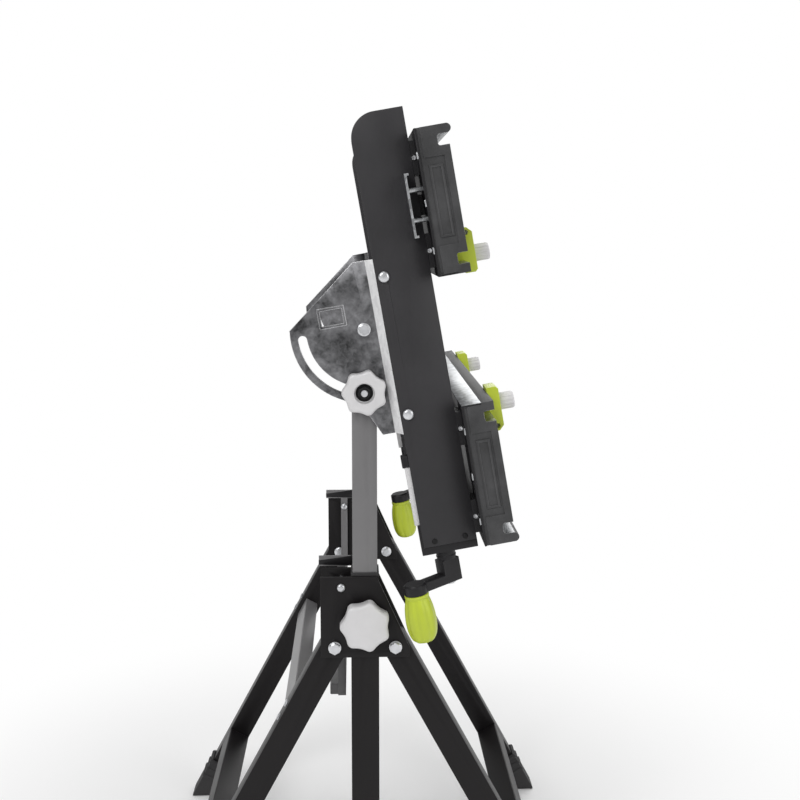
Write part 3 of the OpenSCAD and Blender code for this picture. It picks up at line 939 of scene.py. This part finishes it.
@dataclass
class Uprights(SubAssembly):
    """The latch and the two square posts."""

    tab: tuple = ((-57.3, 172.4, 490.9), (-14.7, 176.0, 503.8))
    tab_tip: tuple = (2.0, 3.0, 0.45)
    cap: tuple = ((-13.3, 186.7, 801.0), (13.3, 213.3, 807.4))
    cap_inset: tuple = (2.4, -0.9)

    def build(self) -> None:
        """Dresses the latch and posts and closes the posts' tops."""
        shop = self.shop
        shop.recast("post", Slot.GREY_PAINT, 0.5, "latch_arm_near", "latch_arm_far")
        shop.dress("post", 1.0, "latch_bar")
        shop.recast("post", Slot.GREY_PAINT, 1.6, "post_near", "post_far")
        tip, _, low = self.tab[0]
        reach, rise, share = self.tab_tip
        rim, depth = self.cap_inset
        for side, place in SIDES.items():
            tab = shop.block("latch_tab_" + side, *self.tab, 0.8)
            with shop.editing(tab, lambda v: v.co.x < (tip + reach) * MM, "VERT"):
                centre = (tip * MM, 0, (low + rise) * MM)
                bpy.ops.transform.resize(value=(1, 1, share), center_override=centre)
            self.add(tab, place, "cast", Slot.GREY_PAINT, "latch")
            cap = shop.block("post_cap_" + side, *self.cap, 1.2, 3)
            with shop.editing(cap, lambda face: face.normal.z > 0.9):
                bpy.ops.mesh.inset(thickness=rim * MM, depth=depth * MM)
            self.add(cap, place, "cast", Slot.BLACK_PLASTIC, "posts")
        LOG.info("uprights: latch, posts and their caps")


@dataclass
class TiltHead(SubAssembly):
    """Slotted quadrants with the bolts that they turn on."""

    bolt_out: float = 218.6
    bolt_in: float = 185.0
    bolt_shank: tuple = (182, 221)
    tongue_us: tuple = (-58.0, 105.0)
    tongue_w: float = 33.5
    tongue_nut: tuple = (12.8, 4)
    nut_y: float = 237.0
    rod_ys: tuple = (234, -243)
    rod: tuple = ((3.4, 0), (4, 0.6), (4, 9.0))
    beam_out: float = 242.0
    joggle: float = 14.5

    def build(self) -> None:
        """Builds the quadrants and every bolt of the head."""
        shop = self.shop
        for side in SIDES:
            plate = shop.skin("quadrant_" + side, "quadrant_plate_" + side, "plate", Slot.ZINC,
                              0.5)
            # Faces beyond the joggle get the near-white finish, a painted highlight along the
            # fold.
            shop.second_finish(plate, "bright",
                               lambda face: (INTO_TOP @ face.center).z > self.joggle * MM)
        bolts = shop.through_bolts("tilt_bolt", self.bolt_out, self.bolt_in, self.bolt_shank,
                                   (0,), PIVOT_HEIGHT / MM)
        shop.wear_finish(bolts, "bolt", Slot.ZINC, "posts", "tilt_bolts")
        us, w = self.tongue_us, self.tongue_w
        domes = [spot for u in us for spot in across("y", u, self.beam_out, w)]
        nuts = [spot for u in us for spot in across("-y", u, self.nut_y, w)]
        rods = [("y", (u, y, w)) for u in us for y in self.rod_ys]
        bolts = shop.join(shop.spread(shop.dome("tongue_bolt_heads", *M8_NUT), domes, TOP),
                          shop.spread(shop.hexagon("tongue_bolt_nuts", *self.tongue_nut), nuts,
                                      TOP),
                          shop.spread(shop.turned("tongue_bolt_rod", self.rod, 32), rods, TOP))
        shop.wear_finish(bolts, "bolt", Slot.ZINC, "table", "table_bolts")
        LOG.info("tilt head: two quadrants and their bolts")


@dataclass
class Table(SubAssembly):
    """Side beams, rails, end caps and index strips."""

    beam_y: float = 225.0
    screw_u: float = 275.6
    screw_ws: tuple = (32.0, 80.0)
    screw_head: tuple = (8, 2.2)
    peg_u: float = 261.0
    peg_y: float = 241.8
    peg_ws: tuple = (38.0, 75.0)
    peg_head: tuple = (6.4, 1.8)
    strip: tuple = ((159.0, 232.0, 18.0), (239.0, 240.0, 30.0))
    clip: tuple = ((153.0, 231.0, 15.5), (168.0, 241.0, 24.0))
    clip_inset: tuple = (2.0, -0.6)
    mark: tuple = ((167.0, 239.2, 18.6), (169.2, 240.5, 22.0))
    mark_step: float = 8.0
    marks: int = 9

    def end_caps(self, side: str, place: Matrix) -> None:
        """Rounds an end cap, drives two screws into it and sets its two pegs.

        Args:
            side: "near" or "far".
            place: The frame of that side's top.
        """
        shop = self.shop
        shop.skin("end_cap_" + side, "end_cap_moulding_" + side, "cast", Slot.BLACK_PLASTIC,
                  1.4, 3)
        screws = [("x", (self.screw_u, self.beam_y, w)) for w in self.screw_ws]
        head = shop.dome("end_cap_screws_" + side, *self.screw_head)
        heads = shop.spread(head, screws, place)
        shop.wear_finish(heads, "screw", Slot.ZINC, "table")
        pegs = [("y", (self.peg_u, self.peg_y, w)) for w in self.peg_ws]
        tabs = shop.spread(shop.dome("end_cap_pegs_" + side, *self.peg_head), pegs, place)
        shop.wear_finish(tabs, "dark", Slot.BLACK_PLASTIC, "table")

    def index_strip(self, side: str, place: Matrix) -> None:
        """Builds a pale index strip with its marks and its black clip.

        Args:
            side: "near" or "far".
            place: The frame of that side's top.
        """
        shop = self.shop
        strip = shop.block("index_strip_" + side, *self.strip, 1.0)
        shifts = [Vector((self.mark_step * k, 0, 0)) for k in range(self.marks)]
        marks = [shop.block("strip_mark", *(Vector(corner) + shift for corner in self.mark), 0.4)
                 for shift in shifts]
        nodes = ("index_strips",) if side == "far" else ()
        self.add(shop.join(strip, *marks), place, "knob", Slot.LIGHT_PLASTIC, "table", *nodes)
        clip = shop.block("index_clip_" + side, *self.clip, 1.2, 3)
        rim, depth = self.clip_inset
        with shop.editing(clip, lambda face: face.normal.y > 0.9):
            bpy.ops.mesh.inset(thickness=rim * MM, depth=depth * MM)
        self.add(clip, place, "cast", Slot.BLACK_PLASTIC, "table")

    def build(self) -> None:
        """Dresses the beams and rails and builds the caps and strips."""
        self.shop.recast("beam", Slot.CHARCOAL_PAINT, 0.9, "beam_near", "beam_far")
        self.shop.dress("beam", 1.2, "front_rail", "middle_rail")
        for side, place in SIDES.items():
            self.end_caps(side, place @ TOP)
            self.index_strip(side, place @ TOP)
        LOG.info("table: beams, rails, end caps and index strips")


@dataclass
class Jaws(SubAssembly):
    """Two clamping jaws with their sheets, pads, shoes and screw nuts."""

    sheet_w: float = 96.6
    panel: tuple = ((-125.0, 265.5, 104.0), (-43.0, 267.7, 120.5))
    insets: tuple = ((2.6, 0.0), (0.7, -0.9))
    grooves: tuple = (("front", -23.5, -10.5), ("rear", -157.5, -144.5))
    groove_y: float = 268.1
    groove_ws: tuple = (118.55, 131.1)
    lining: float = 0.22
    pad_us: tuple = (-137.5, -30.5)
    pad_y: float = 241.8
    pad_w: float = 91.0
    pad_head: tuple = (4.6, 2.6)
    clip_us: tuple = (-137.76, -84.0, -30.24)
    clip: tuple = ((-4.0, 268.5, 92.6), (4.0, 259.5, 94.2))

    def mouldings(self, word: str, body: str, place: Matrix) -> None:
        """Builds a jaw's moulding and its sheet, which is bright only on the gripping face.

        Args:
            word: "moving" or "fixed".
            body: The body that they ride on.
            place: The jaw's frame.
        """
        shop = self.shop
        shop.skin(word + "_jaw", word + "_jaw_moulding", "jaw", Slot.JAW_COMPOSITE, 0.9, 3)
        panels = []
        for sign in (-1, 1):
            panel = shop.block("end_panel", *((u, sign * y, w) for u, y, w in self.panel), 0.7, 3)
            with shop.editing(panel, lambda face: face.normal.y * sign > 0.95):
                for width, depth in self.insets:
                    bpy.ops.mesh.inset(thickness=width * MM, depth=depth * MM)
            panels.append(panel)
        self.add(shop.join(*panels, name=word + "_jaw_end_panels"), place, "jaw",
                 Slot.JAW_COMPOSITE, body)
        sheet = shop.skin(word + "_base", word + "_base_sheet", "zinc", Slot.ZINC, 0.4)
        shop.second_finish(sheet, "cast", lambda face: abs(face.normal.y) > 0.5
                           or (INTO_TOP @ face.center).z < self.sheet_w * MM)

    def linings(self, word: str, body: str, place: Matrix) -> None:
        """Bends a thin bright channel into each groove.

        Args:
            word: "moving" or "fixed".
            body: The body that they ride on.
            place: The jaw's frame.
        """
        shop = self.shop
        low, high = self.groove_ws
        for end, start, stop in self.grooves:
            channel = shop.block(f"{word}_{end}_lining", (start, -self.groove_y, low),
                                 (stop, self.groove_y, high), 0)
            with shop.editing(channel, lambda f: f.normal.z > 0.9 or abs(f.normal.y) > 0.9):
                bpy.ops.mesh.delete(type="FACE")
            shop.modify(channel, "SOLIDIFY", thickness=self.lining * MM, offset=-1)
            self.add(channel, place, "zinc", Slot.ZINC, body)

    def small_parts(self, word: str, body: str, place: Matrix) -> None:
        """Sets small bolts into the pads and presses clips over the sheet's end edges.

        Args:
            word: "moving" or "fixed".
            body: The body that they ride on.
            place: The jaw's frame.
        """
        shop = self.shop
        spots = [spot for u in self.pad_us for spot in across("y", u, self.pad_y, self.pad_w)]
        bolts = shop.spread(shop.hexagon(word + "_pad_bolts", *self.pad_head), spots, place)
        shop.wear_finish(bolts, "bolt", Slot.ZINC, body)
        clips = [shop.block("clip", *((at + u, sign * y, w) for u, y, w in self.clip), 0.5)
                 for at in self.clip_us for sign in (-1, 1)]
        self.add(shop.join(*clips, name=word + "_sheet_clips"), place, "zinc", Slot.ZINC, body)

    def build(self) -> None:
        """Builds both jaws and all that they carry."""
        self.shop.dress("zinc", 0.4, "jaw_shoes")
        self.shop.dress("cast", 0.6, "fixed_pads", "glide_pads")
        self.shop.dress("cast", 0.8, "screw_nuts")
        for word, (body, place) in JAWS.items():
            self.mouldings(word, body, place)
            self.linings(word, body, place)
            self.small_parts(word, body, place)
        LOG.info("jaws: two mouldings, four linings, bolts and clips")


@dataclass
class Cranks(SubAssembly):
    """Threaded lead screws, crank arms and fluted barrel grips."""

    beam_y: float = 225.0
    rise: float = 49.0
    crank_u: float = 306.3
    turn: float = 30.0
    throw: tuple = (50.0, 0.0, 0.0)
    pitch: float = 5.0
    ridge_rs: tuple = (5.6, 7.0)
    ridge_zs: tuple = (-226.0, 250.0)
    ridge_w: float = 2.6
    crest_share: float = 0.35
    steps: int = 20
    core: tuple = ((4.5, -233), (5.7, -231.5), (5.7, 252), (7, 254), (7, 296.3), (6, 297.3))
    ring: tuple = ((11.2, -29.6), (12.1, -28.9), (12.1, -27.2), (11.6, -26.6), (11.6, -23.6),
                   (12.1, -23), (12.1, -21.2), (11.2, -20.4))
    boss: tuple = ((11.8, -2), (13.2, -0.6), (13.4, 5), (13.2, 8.8), (12.2, 10.15), (6, 10.2))
    web: tuple = ((6, -8.2, -1.6), (50.0, 8.2, 9.7))
    nut: tuple = (11, 3.4)
    nut_at: tuple = (0, 0, 9.8)
    grip_r: float = 18.5
    grip_z: float = 10.3
    grip_len: float = 59.7
    grip: tuple = (
        (0.66, 0.0), (0.70, 0.012), (0.72, 0.05), (0.80, 0.12), (0.87, 0.20), (0.925, 0.28),
        (0.96, 0.36), (0.99, 0.45), (1.0, 0.54), (0.995, 0.63), (0.97, 0.72), (0.92, 0.80),
        (0.84, 0.875), (0.74, 0.93), (0.60, 0.968), (0.42, 0.99), (0.2, 1.0),
    )
    flute: tuple = (0.945, 0.95, 0.962, 0.978, 0.99, 0.997, 1.0, 1.0, 1.0, 1.0, 1.0, 0.997,
                    0.99, 0.978, 0.962, 0.95)
    collar: tuple = ((0.745, 10.5), (0.79, 11.2), (0.79, 14.0), (0.75, 14.8))

    def along(self, sign: int, lift: float = 0.0) -> Matrix:
        """Gives a lead screw's frame, with Z towards the crank.

        Args:
            sign: -1 for the near screw and 1 for the far one.
            lift: How far its origin lies up the screw from the tilt axis.

        Returns:
            The frame.
        """
        at = Vector((lift, sign * self.beam_y, self.rise)) * MM
        return TOP @ Matrix.Translation(at) @ Matrix.Rotation(math.pi / 2, 4, "Y")

    def thread(self) -> Piece:
        """Winds a closed ridge round the screw's core.

        Returns:
            The ridge.
        """
        (root, crest), (start, end) = self.ridge_rs, self.ridge_zs
        middle, foot = (crest + root) / 2 * MM, start * MM
        bpy.ops.object.select_all(action="DESELECT")
        bpy.ops.mesh.primitive_plane_add(size=1, rotation=(math.pi / 2, 0, 0))
        ridge = bpy.context.object
        bpy.ops.transform.resize(value=((crest - root) * MM, 1, self.ridge_w * MM))
        ridge.location = (middle, 0, foot)
        bpy.ops.object.transform_apply(location=True, rotation=True, scale=True)
        with self.shop.editing(ridge, lambda v: v.co.x > middle, "VERT"):
            bpy.ops.transform.resize(value=(1, 1, self.crest_share),
                                     center_override=(0, 0, foot))
        with self.shop.editing(ridge):
            bpy.ops.mesh.delete(type="ONLY_FACE")
        self.shop.modify(ridge, "SCREW", axis="Z", screw_offset=self.pitch * MM,
                         steps=self.steps, render_steps=self.steps,
                         iterations=int((end - start) / self.pitch), use_merge_vertices=False)
        with self.shop.editing(ridge, kind="VERT"):
            bpy.ops.mesh.fill_holes(sides=4)
        return ridge

    def arm(self, side: str, place: Matrix, pin: Matrix) -> None:
        """Rounds a crank's casting and adds its hub ring, boss, web and nut.

        Args:
            side: "near" or "far".
            place: The crank's frame, with Z along its screw and X along its arm.
            pin: The frame of its grip.
        """
        shop, body, look = self.shop, "crank_" + side, ("cast", Slot.BLACK_PLASTIC)
        shop.skin(body, "crank_arm_" + side, *look, 1.6, 3)
        self.add(shop.turned("crank_ring_" + side, self.ring), place, *look, body)
        boss = shop.turned("crank_boss_" + side, self.boss)
        web = shop.block("crank_web_" + side, *self.web, 2.6, 4)
        shop.settle(boss, pin, 45)
        shop.settle(web, place)
        shop.wear_finish(shop.join(boss, web), *look, body)
        self.add(shop.hexagon("crank_nut_" + side, *self.nut),
                 place @ shop.facing("z", self.nut_at), "bolt", Slot.ZINC, body)

    def build(self) -> None:
        """Builds the screws, arms and grips."""
        shop = self.shop
        profile = [(share, self.grip_z + height * self.grip_len) for share, height in self.grip]
        for side, sign in SIGNS.items():
            core = shop.turned("threaded_screw_" + side, self.core, 40)
            self.add(shop.join(core, self.thread()), self.along(sign), "screw", Slot.ZINC,
                     "crank_" + side, "lead_screw_" + side, smooth=30)
            turn = Matrix.Rotation(math.radians(-self.turn), 4, "Z")
            place = self.along(sign, self.crank_u) @ turn
            pin = place @ shop.facing("z", self.throw)
            self.arm(side, place, pin)
            barrel = shop.turned("grip_barrel_" + side, profile, 128, self.flute, self.grip_r)
            collar = shop.turned("grip_collar", self.collar, 64, radius=self.grip_r)
            self.add(shop.join(barrel, collar), pin, "lime", Slot.LIME_PLASTIC, "grip_" + side,
                     "grip_" + side, smooth=45)
        LOG.info("cranks: two threaded screws, arms and grips")


@dataclass
class Knobs(SubAssembly):
    """Seven-lobed star knobs of the tilt and height clamps."""

    tilt_r: float = 27.0
    height_r: float = 30.5
    tilt_at: tuple = (0, 221.6, 716.5)
    height_at: tuple = (0, 228.0, 435.455)
    tilt_bolt: tuple = (-36.6, -3)
    height_bolt: tuple = (-12.7, -7.7)
    count: int = 84
    lobe: tuple = (1.0, 0.992, 0.962, 0.925, 0.9, 0.884, 0.878, 0.884, 0.9, 0.925, 0.962, 0.992)
    body: tuple = ((0.90, 0), (0.965, 0.5), (1.0, 2.0), (1.0, 14.4), (0.985, 16.0),
                   (0.945, 17.2), (0.88, 17.85), (0.80, 18.0))
    crown: tuple = ((0.60, 18.3), (0.3, 18.5))
    well: tuple = ((0.50, 18.2), (0.46, 17.8), (0.44, 16.8), (0.42, 9.6), (0.36, 9.0))
    well_reach: float = 0.52
    well_floor: tuple = ((11.4, 8.6), (11.4, 9.1), (9.6, 9.4), (9.0, 9.2))
    well_nut: tuple = (0, 0, 9)
    bolt_tip: tuple = ((4, 13), (4, 16.4), (3.4, 17))

    def star(self, name: str, r: float, middle: tuple, bolt: tuple) -> Piece:
        """Draws a star knob up from its back, with its neck and bolt.

        Args:
            name: The object's name.
            r: Radius over the lobes.
            middle: The profile of its middle.
            bolt: Where the bolt and the neck start, measured from the knob's back.

        Returns:
            The knob, facing Z.
        """
        shop = self.shop
        knob = shop.turned(name, self.body + middle, self.count, self.lobe, r)
        if middle == self.well:
            self.round_well(knob, self.well_reach * r * MM)
        shop.settle(knob, Matrix.Rotation(math.pi / 2, 4, "Z"), 32)
        start, end = bolt
        stem = shop.turned("stem", [(3.4, start), (4.0, start + 0.6), (4.0, end),
                                    (9.6, end + 0.05), (10.5, end + 0.7), (10.5, 0.2)])
        return shop.join(knob, stem)

    def round_well(self, knob: Piece, reach: float) -> None:
        """Takes the lobes out of a knob's well, so that the well is round.

        Args:
            knob: The knob.
            reach: Radius in metres inside which points belong to the well.
        """
        first, step = knob.data.vertices[0].co.copy(), 2 * math.pi / self.count
        for share in sorted(set(self.lobe)):
            places = {k for k, value in enumerate(self.lobe) if value == share}

            def inside(v: bpy.types.MeshVertex) -> bool:
                """Tells whether a point of the well lies at one of these places of a lobe."""
                angle = math.atan2(v.co.y, v.co.x) - math.atan2(first.y, first.x)
                return v.co.xy.length < reach and round(angle / step) % len(self.lobe) in places

            with self.shop.editing(knob, inside, "VERT"):
                bpy.ops.transform.resize(value=(1 / share, 1 / share, 1),
                                         center_override=(0, 0, 0))

    def build(self) -> None:
        """Builds recessed knobs on the curved slots and closed ones on the centre tubes."""
        shop = self.shop
        for side, place in SIDES.items():
            for word, r, middle, bolt, at in (
                    ("tilt", self.tilt_r, self.well, self.tilt_bolt, self.tilt_at),
                    ("height", self.height_r, self.crown, self.height_bolt, self.height_at)):
                body = f"{word}_knob_{side}"
                self.add(self.star(f"{word}_star_{side}", r, middle, bolt),
                         place @ shop.facing("y", at), "knob", Slot.LIGHT_PLASTIC, body, body,
                         smooth=32)
            at, body = place @ shop.facing("y", self.tilt_at), "tilt_knob_" + side
            self.add(shop.turned("tilt_well_" + side, self.well_floor), at, "dark",
                     Slot.LIGHT_PLASTIC, body)
            self.add(shop.hexagon("tilt_nut_" + side, *M8_HEAD),
                     at @ shop.facing("z", self.well_nut), "dark", Slot.ZINC, body)
            self.add(shop.turned("tilt_tip_" + side, self.bolt_tip, 32), at, "bolt", Slot.ZINC,
                     body)
        LOG.info("knobs: four star knobs")


@dataclass
class Dogs(SubAssembly):
    """Sliding dogs and the knobs that clamp them."""

    at: tuple = (-17.0, 184.0, 146.8)
    knob_r: float = 10.5
    knob: tuple = ((0.86, 0), (0.97, 0.5), (1, 1.4), (1, 15), (0.97, 16.6), (0.9, 17.6),
                   (0.8, 18), (0.55, 18), (0.5, 17.4), (0.2, 17.3))
    flute: tuple = (0.925, 0.945, 1.0, 1.0, 1.0, 0.945)
    stem: tuple = ((2.5, -14.7), (3, -14.1), (3, 0.4))

    def build(self) -> None:
        """Builds four dogs with their knobs."""
        shop = self.shop
        u, y, w = self.at
        for word, (_, place) in JAWS.items():
            for side, sign in SIGNS.items():
                end = f"{word}_{side}"
                shop.skin("dog_" + end, "dog_wedge_" + end, "lime", Slot.LIME_PLASTIC, 2.2, 4)
                knob = shop.join(
                    shop.turned("dog_cap_" + end, self.knob, 72, self.flute, self.knob_r),
                    shop.turned("dog_stem", self.stem, 32))
                self.add(knob, place @ shop.facing("z", (u, sign * y, w)), "knob",
                         Slot.LIGHT_PLASTIC, "dog_knob_" + end, "dog_knob_" + end, smooth=32)
        LOG.info("dogs: four wedges and four caps")


@dataclass
class Studio:
    """Pale floor and backdrop, soft lamps and the photograph's camera."""

    camera_at: tuple = (-10.1, -1494.6, 903.3)
    camera_to: tuple = (43.8, -184.6, 759.6)
    lens: float = 48.86
    shift_up: float = -0.06
    sensor: float = 36.0
    nearest: float = 0.05
    room_light: float = 0.42
    floor_size: float = 14.0
    floor_z: float = -0.0005
    floor_tone: tuple = (0.9, 0.9, 0.9, 1)
    floor_roughness: float = 0.9
    shadow_range: tuple = (0.35, 0.95)
    lamps: tuple = (
        ("key_lamp", (-1.5, -2.4, 2.5), 1.8, 42.0),
        ("fill_lamp", (2.2, -2.0, 1.5), 2.2, 24.0),
        ("top_lamp", (0.2, 0.3, 3.0), 2.4, 26.0),
        ("back_lamp", (1.0, 2.6, 1.8), 2.0, 22.0),
    )
    lamps_to: tuple = (0, 0, 0.6)

    def backdrop_material(self) -> bpy.types.Material:
        """Makes a floor with a shadow near the bench, which fades to white for the camera.

        Returns:
            The material.
        """
        material = bpy.data.materials.new("pale_floor")
        graph = Graph(material)
        shader = material.node_tree.nodes["Principled BSDF"]
        graph.feed(shader, {"Base Color": self.floor_tone, "Roughness": self.floor_roughness})
        place = graph.add("TexCoord", {}, "Object")
        distance = graph.add("VectorMath", {0: place}, "Value", operation="LENGTH")
        near, far = self.shadow_range
        fade = graph.add("MapRange", {"From Min": near, "From Max": far, "Value": distance},
                         interpolation_type="SMOOTHSTEP")
        camera, glossy, glass = (graph.add("LightPath", {}, f"Is {ray} Ray")
                                 for ray in ("Camera", "Glossy", "Transmission"))
        mirrored = graph.calculate("MAXIMUM", camera, glossy)
        seen = graph.calculate("MAXIMUM", mirrored, glass)
        share = graph.calculate("MULTIPLY", seen, fade)
        white = graph.add("Emission", {"Color": WHITE})
        mix = graph.add("MixShader", {0: share, 1: shader.outputs[0], 2: white})
        graph.feed("Material Output", {"Surface": mix})
        return material

    def floor(self) -> None:
        """Lays the floor."""
        bpy.ops.object.select_all(action="DESELECT")
        bpy.ops.mesh.primitive_plane_add(size=self.floor_size, location=(0, 0, self.floor_z))
        floor = bpy.context.object
        floor.name = "studio_floor"
        bpy.ops.object.transform_apply(location=True, rotation=True, scale=True)
        floor.data.materials.append(self.backdrop_material())

    def world(self) -> None:
        """Fills the room with soft light and shows white to the camera."""
        world = bpy.data.worlds.new("studio_room")
        bpy.context.scene.world = world
        graph = Graph(world)
        light = world.node_tree.nodes["Background"]
        graph.feed(light, {"Color": WHITE, "Strength": self.room_light})
        seen = graph.add("Background", {"Color": WHITE, "Strength": 1.0})
        camera = graph.add("LightPath", {}, "Is Camera Ray")
        mix = graph.add("MixShader", {0: camera, 1: light.outputs[0], 2: seen})
        graph.feed("World Output", {"Surface": mix})

    def light(self) -> None:
        """Hangs the soft lamps."""
        for name, at, size, power in self.lamps:
            bpy.ops.object.light_add(type="AREA", location=at)
            lamp = bpy.context.object
            lamp.name = name
            lamp.data.shape = "DISK"
            lamp.data.size = size
            lamp.data.energy = power
            aim = Vector(self.lamps_to) - Vector(at)
            lamp.rotation_euler = aim.to_track_quat("-Z", "Y").to_euler()

    def camera(self) -> None:
        """Sets up the photograph's view."""
        at, to = Vector(self.camera_at) * MM, Vector(self.camera_to) * MM
        bpy.ops.object.camera_add(location=at)
        camera = bpy.context.object
        camera.name = "photo_camera"
        camera.rotation_euler = (to - at).to_track_quat("-Z", "Y").to_euler()
        camera.data.lens = self.lens
        camera.data.sensor_width = self.sensor
        camera.data.shift_y = self.shift_up
        camera.data.clip_start = self.nearest
        bpy.context.scene.camera = camera

    def build(self) -> None:
        """Builds the whole studio."""
        self.floor()
        self.world()
        self.light()
        self.camera()
        bpy.context.scene.view_settings.view_transform = "Standard"
        LOG.info("studio: floor, lamps and camera")


def main() -> None:
    """Builds every sub-assembly in order and the studio round it."""
    logging.basicConfig(level=logging.INFO, format="%(name)s %(message)s")
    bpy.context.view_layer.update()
    shop = Workshop()
    for assembly in (Stand, Legs, Uprights, TiltHead, Table, Jaws, Cranks, Knobs, Dogs):
        assembly(shop).build()
    Studio().build()


if __name__ == "__main__":
    main()
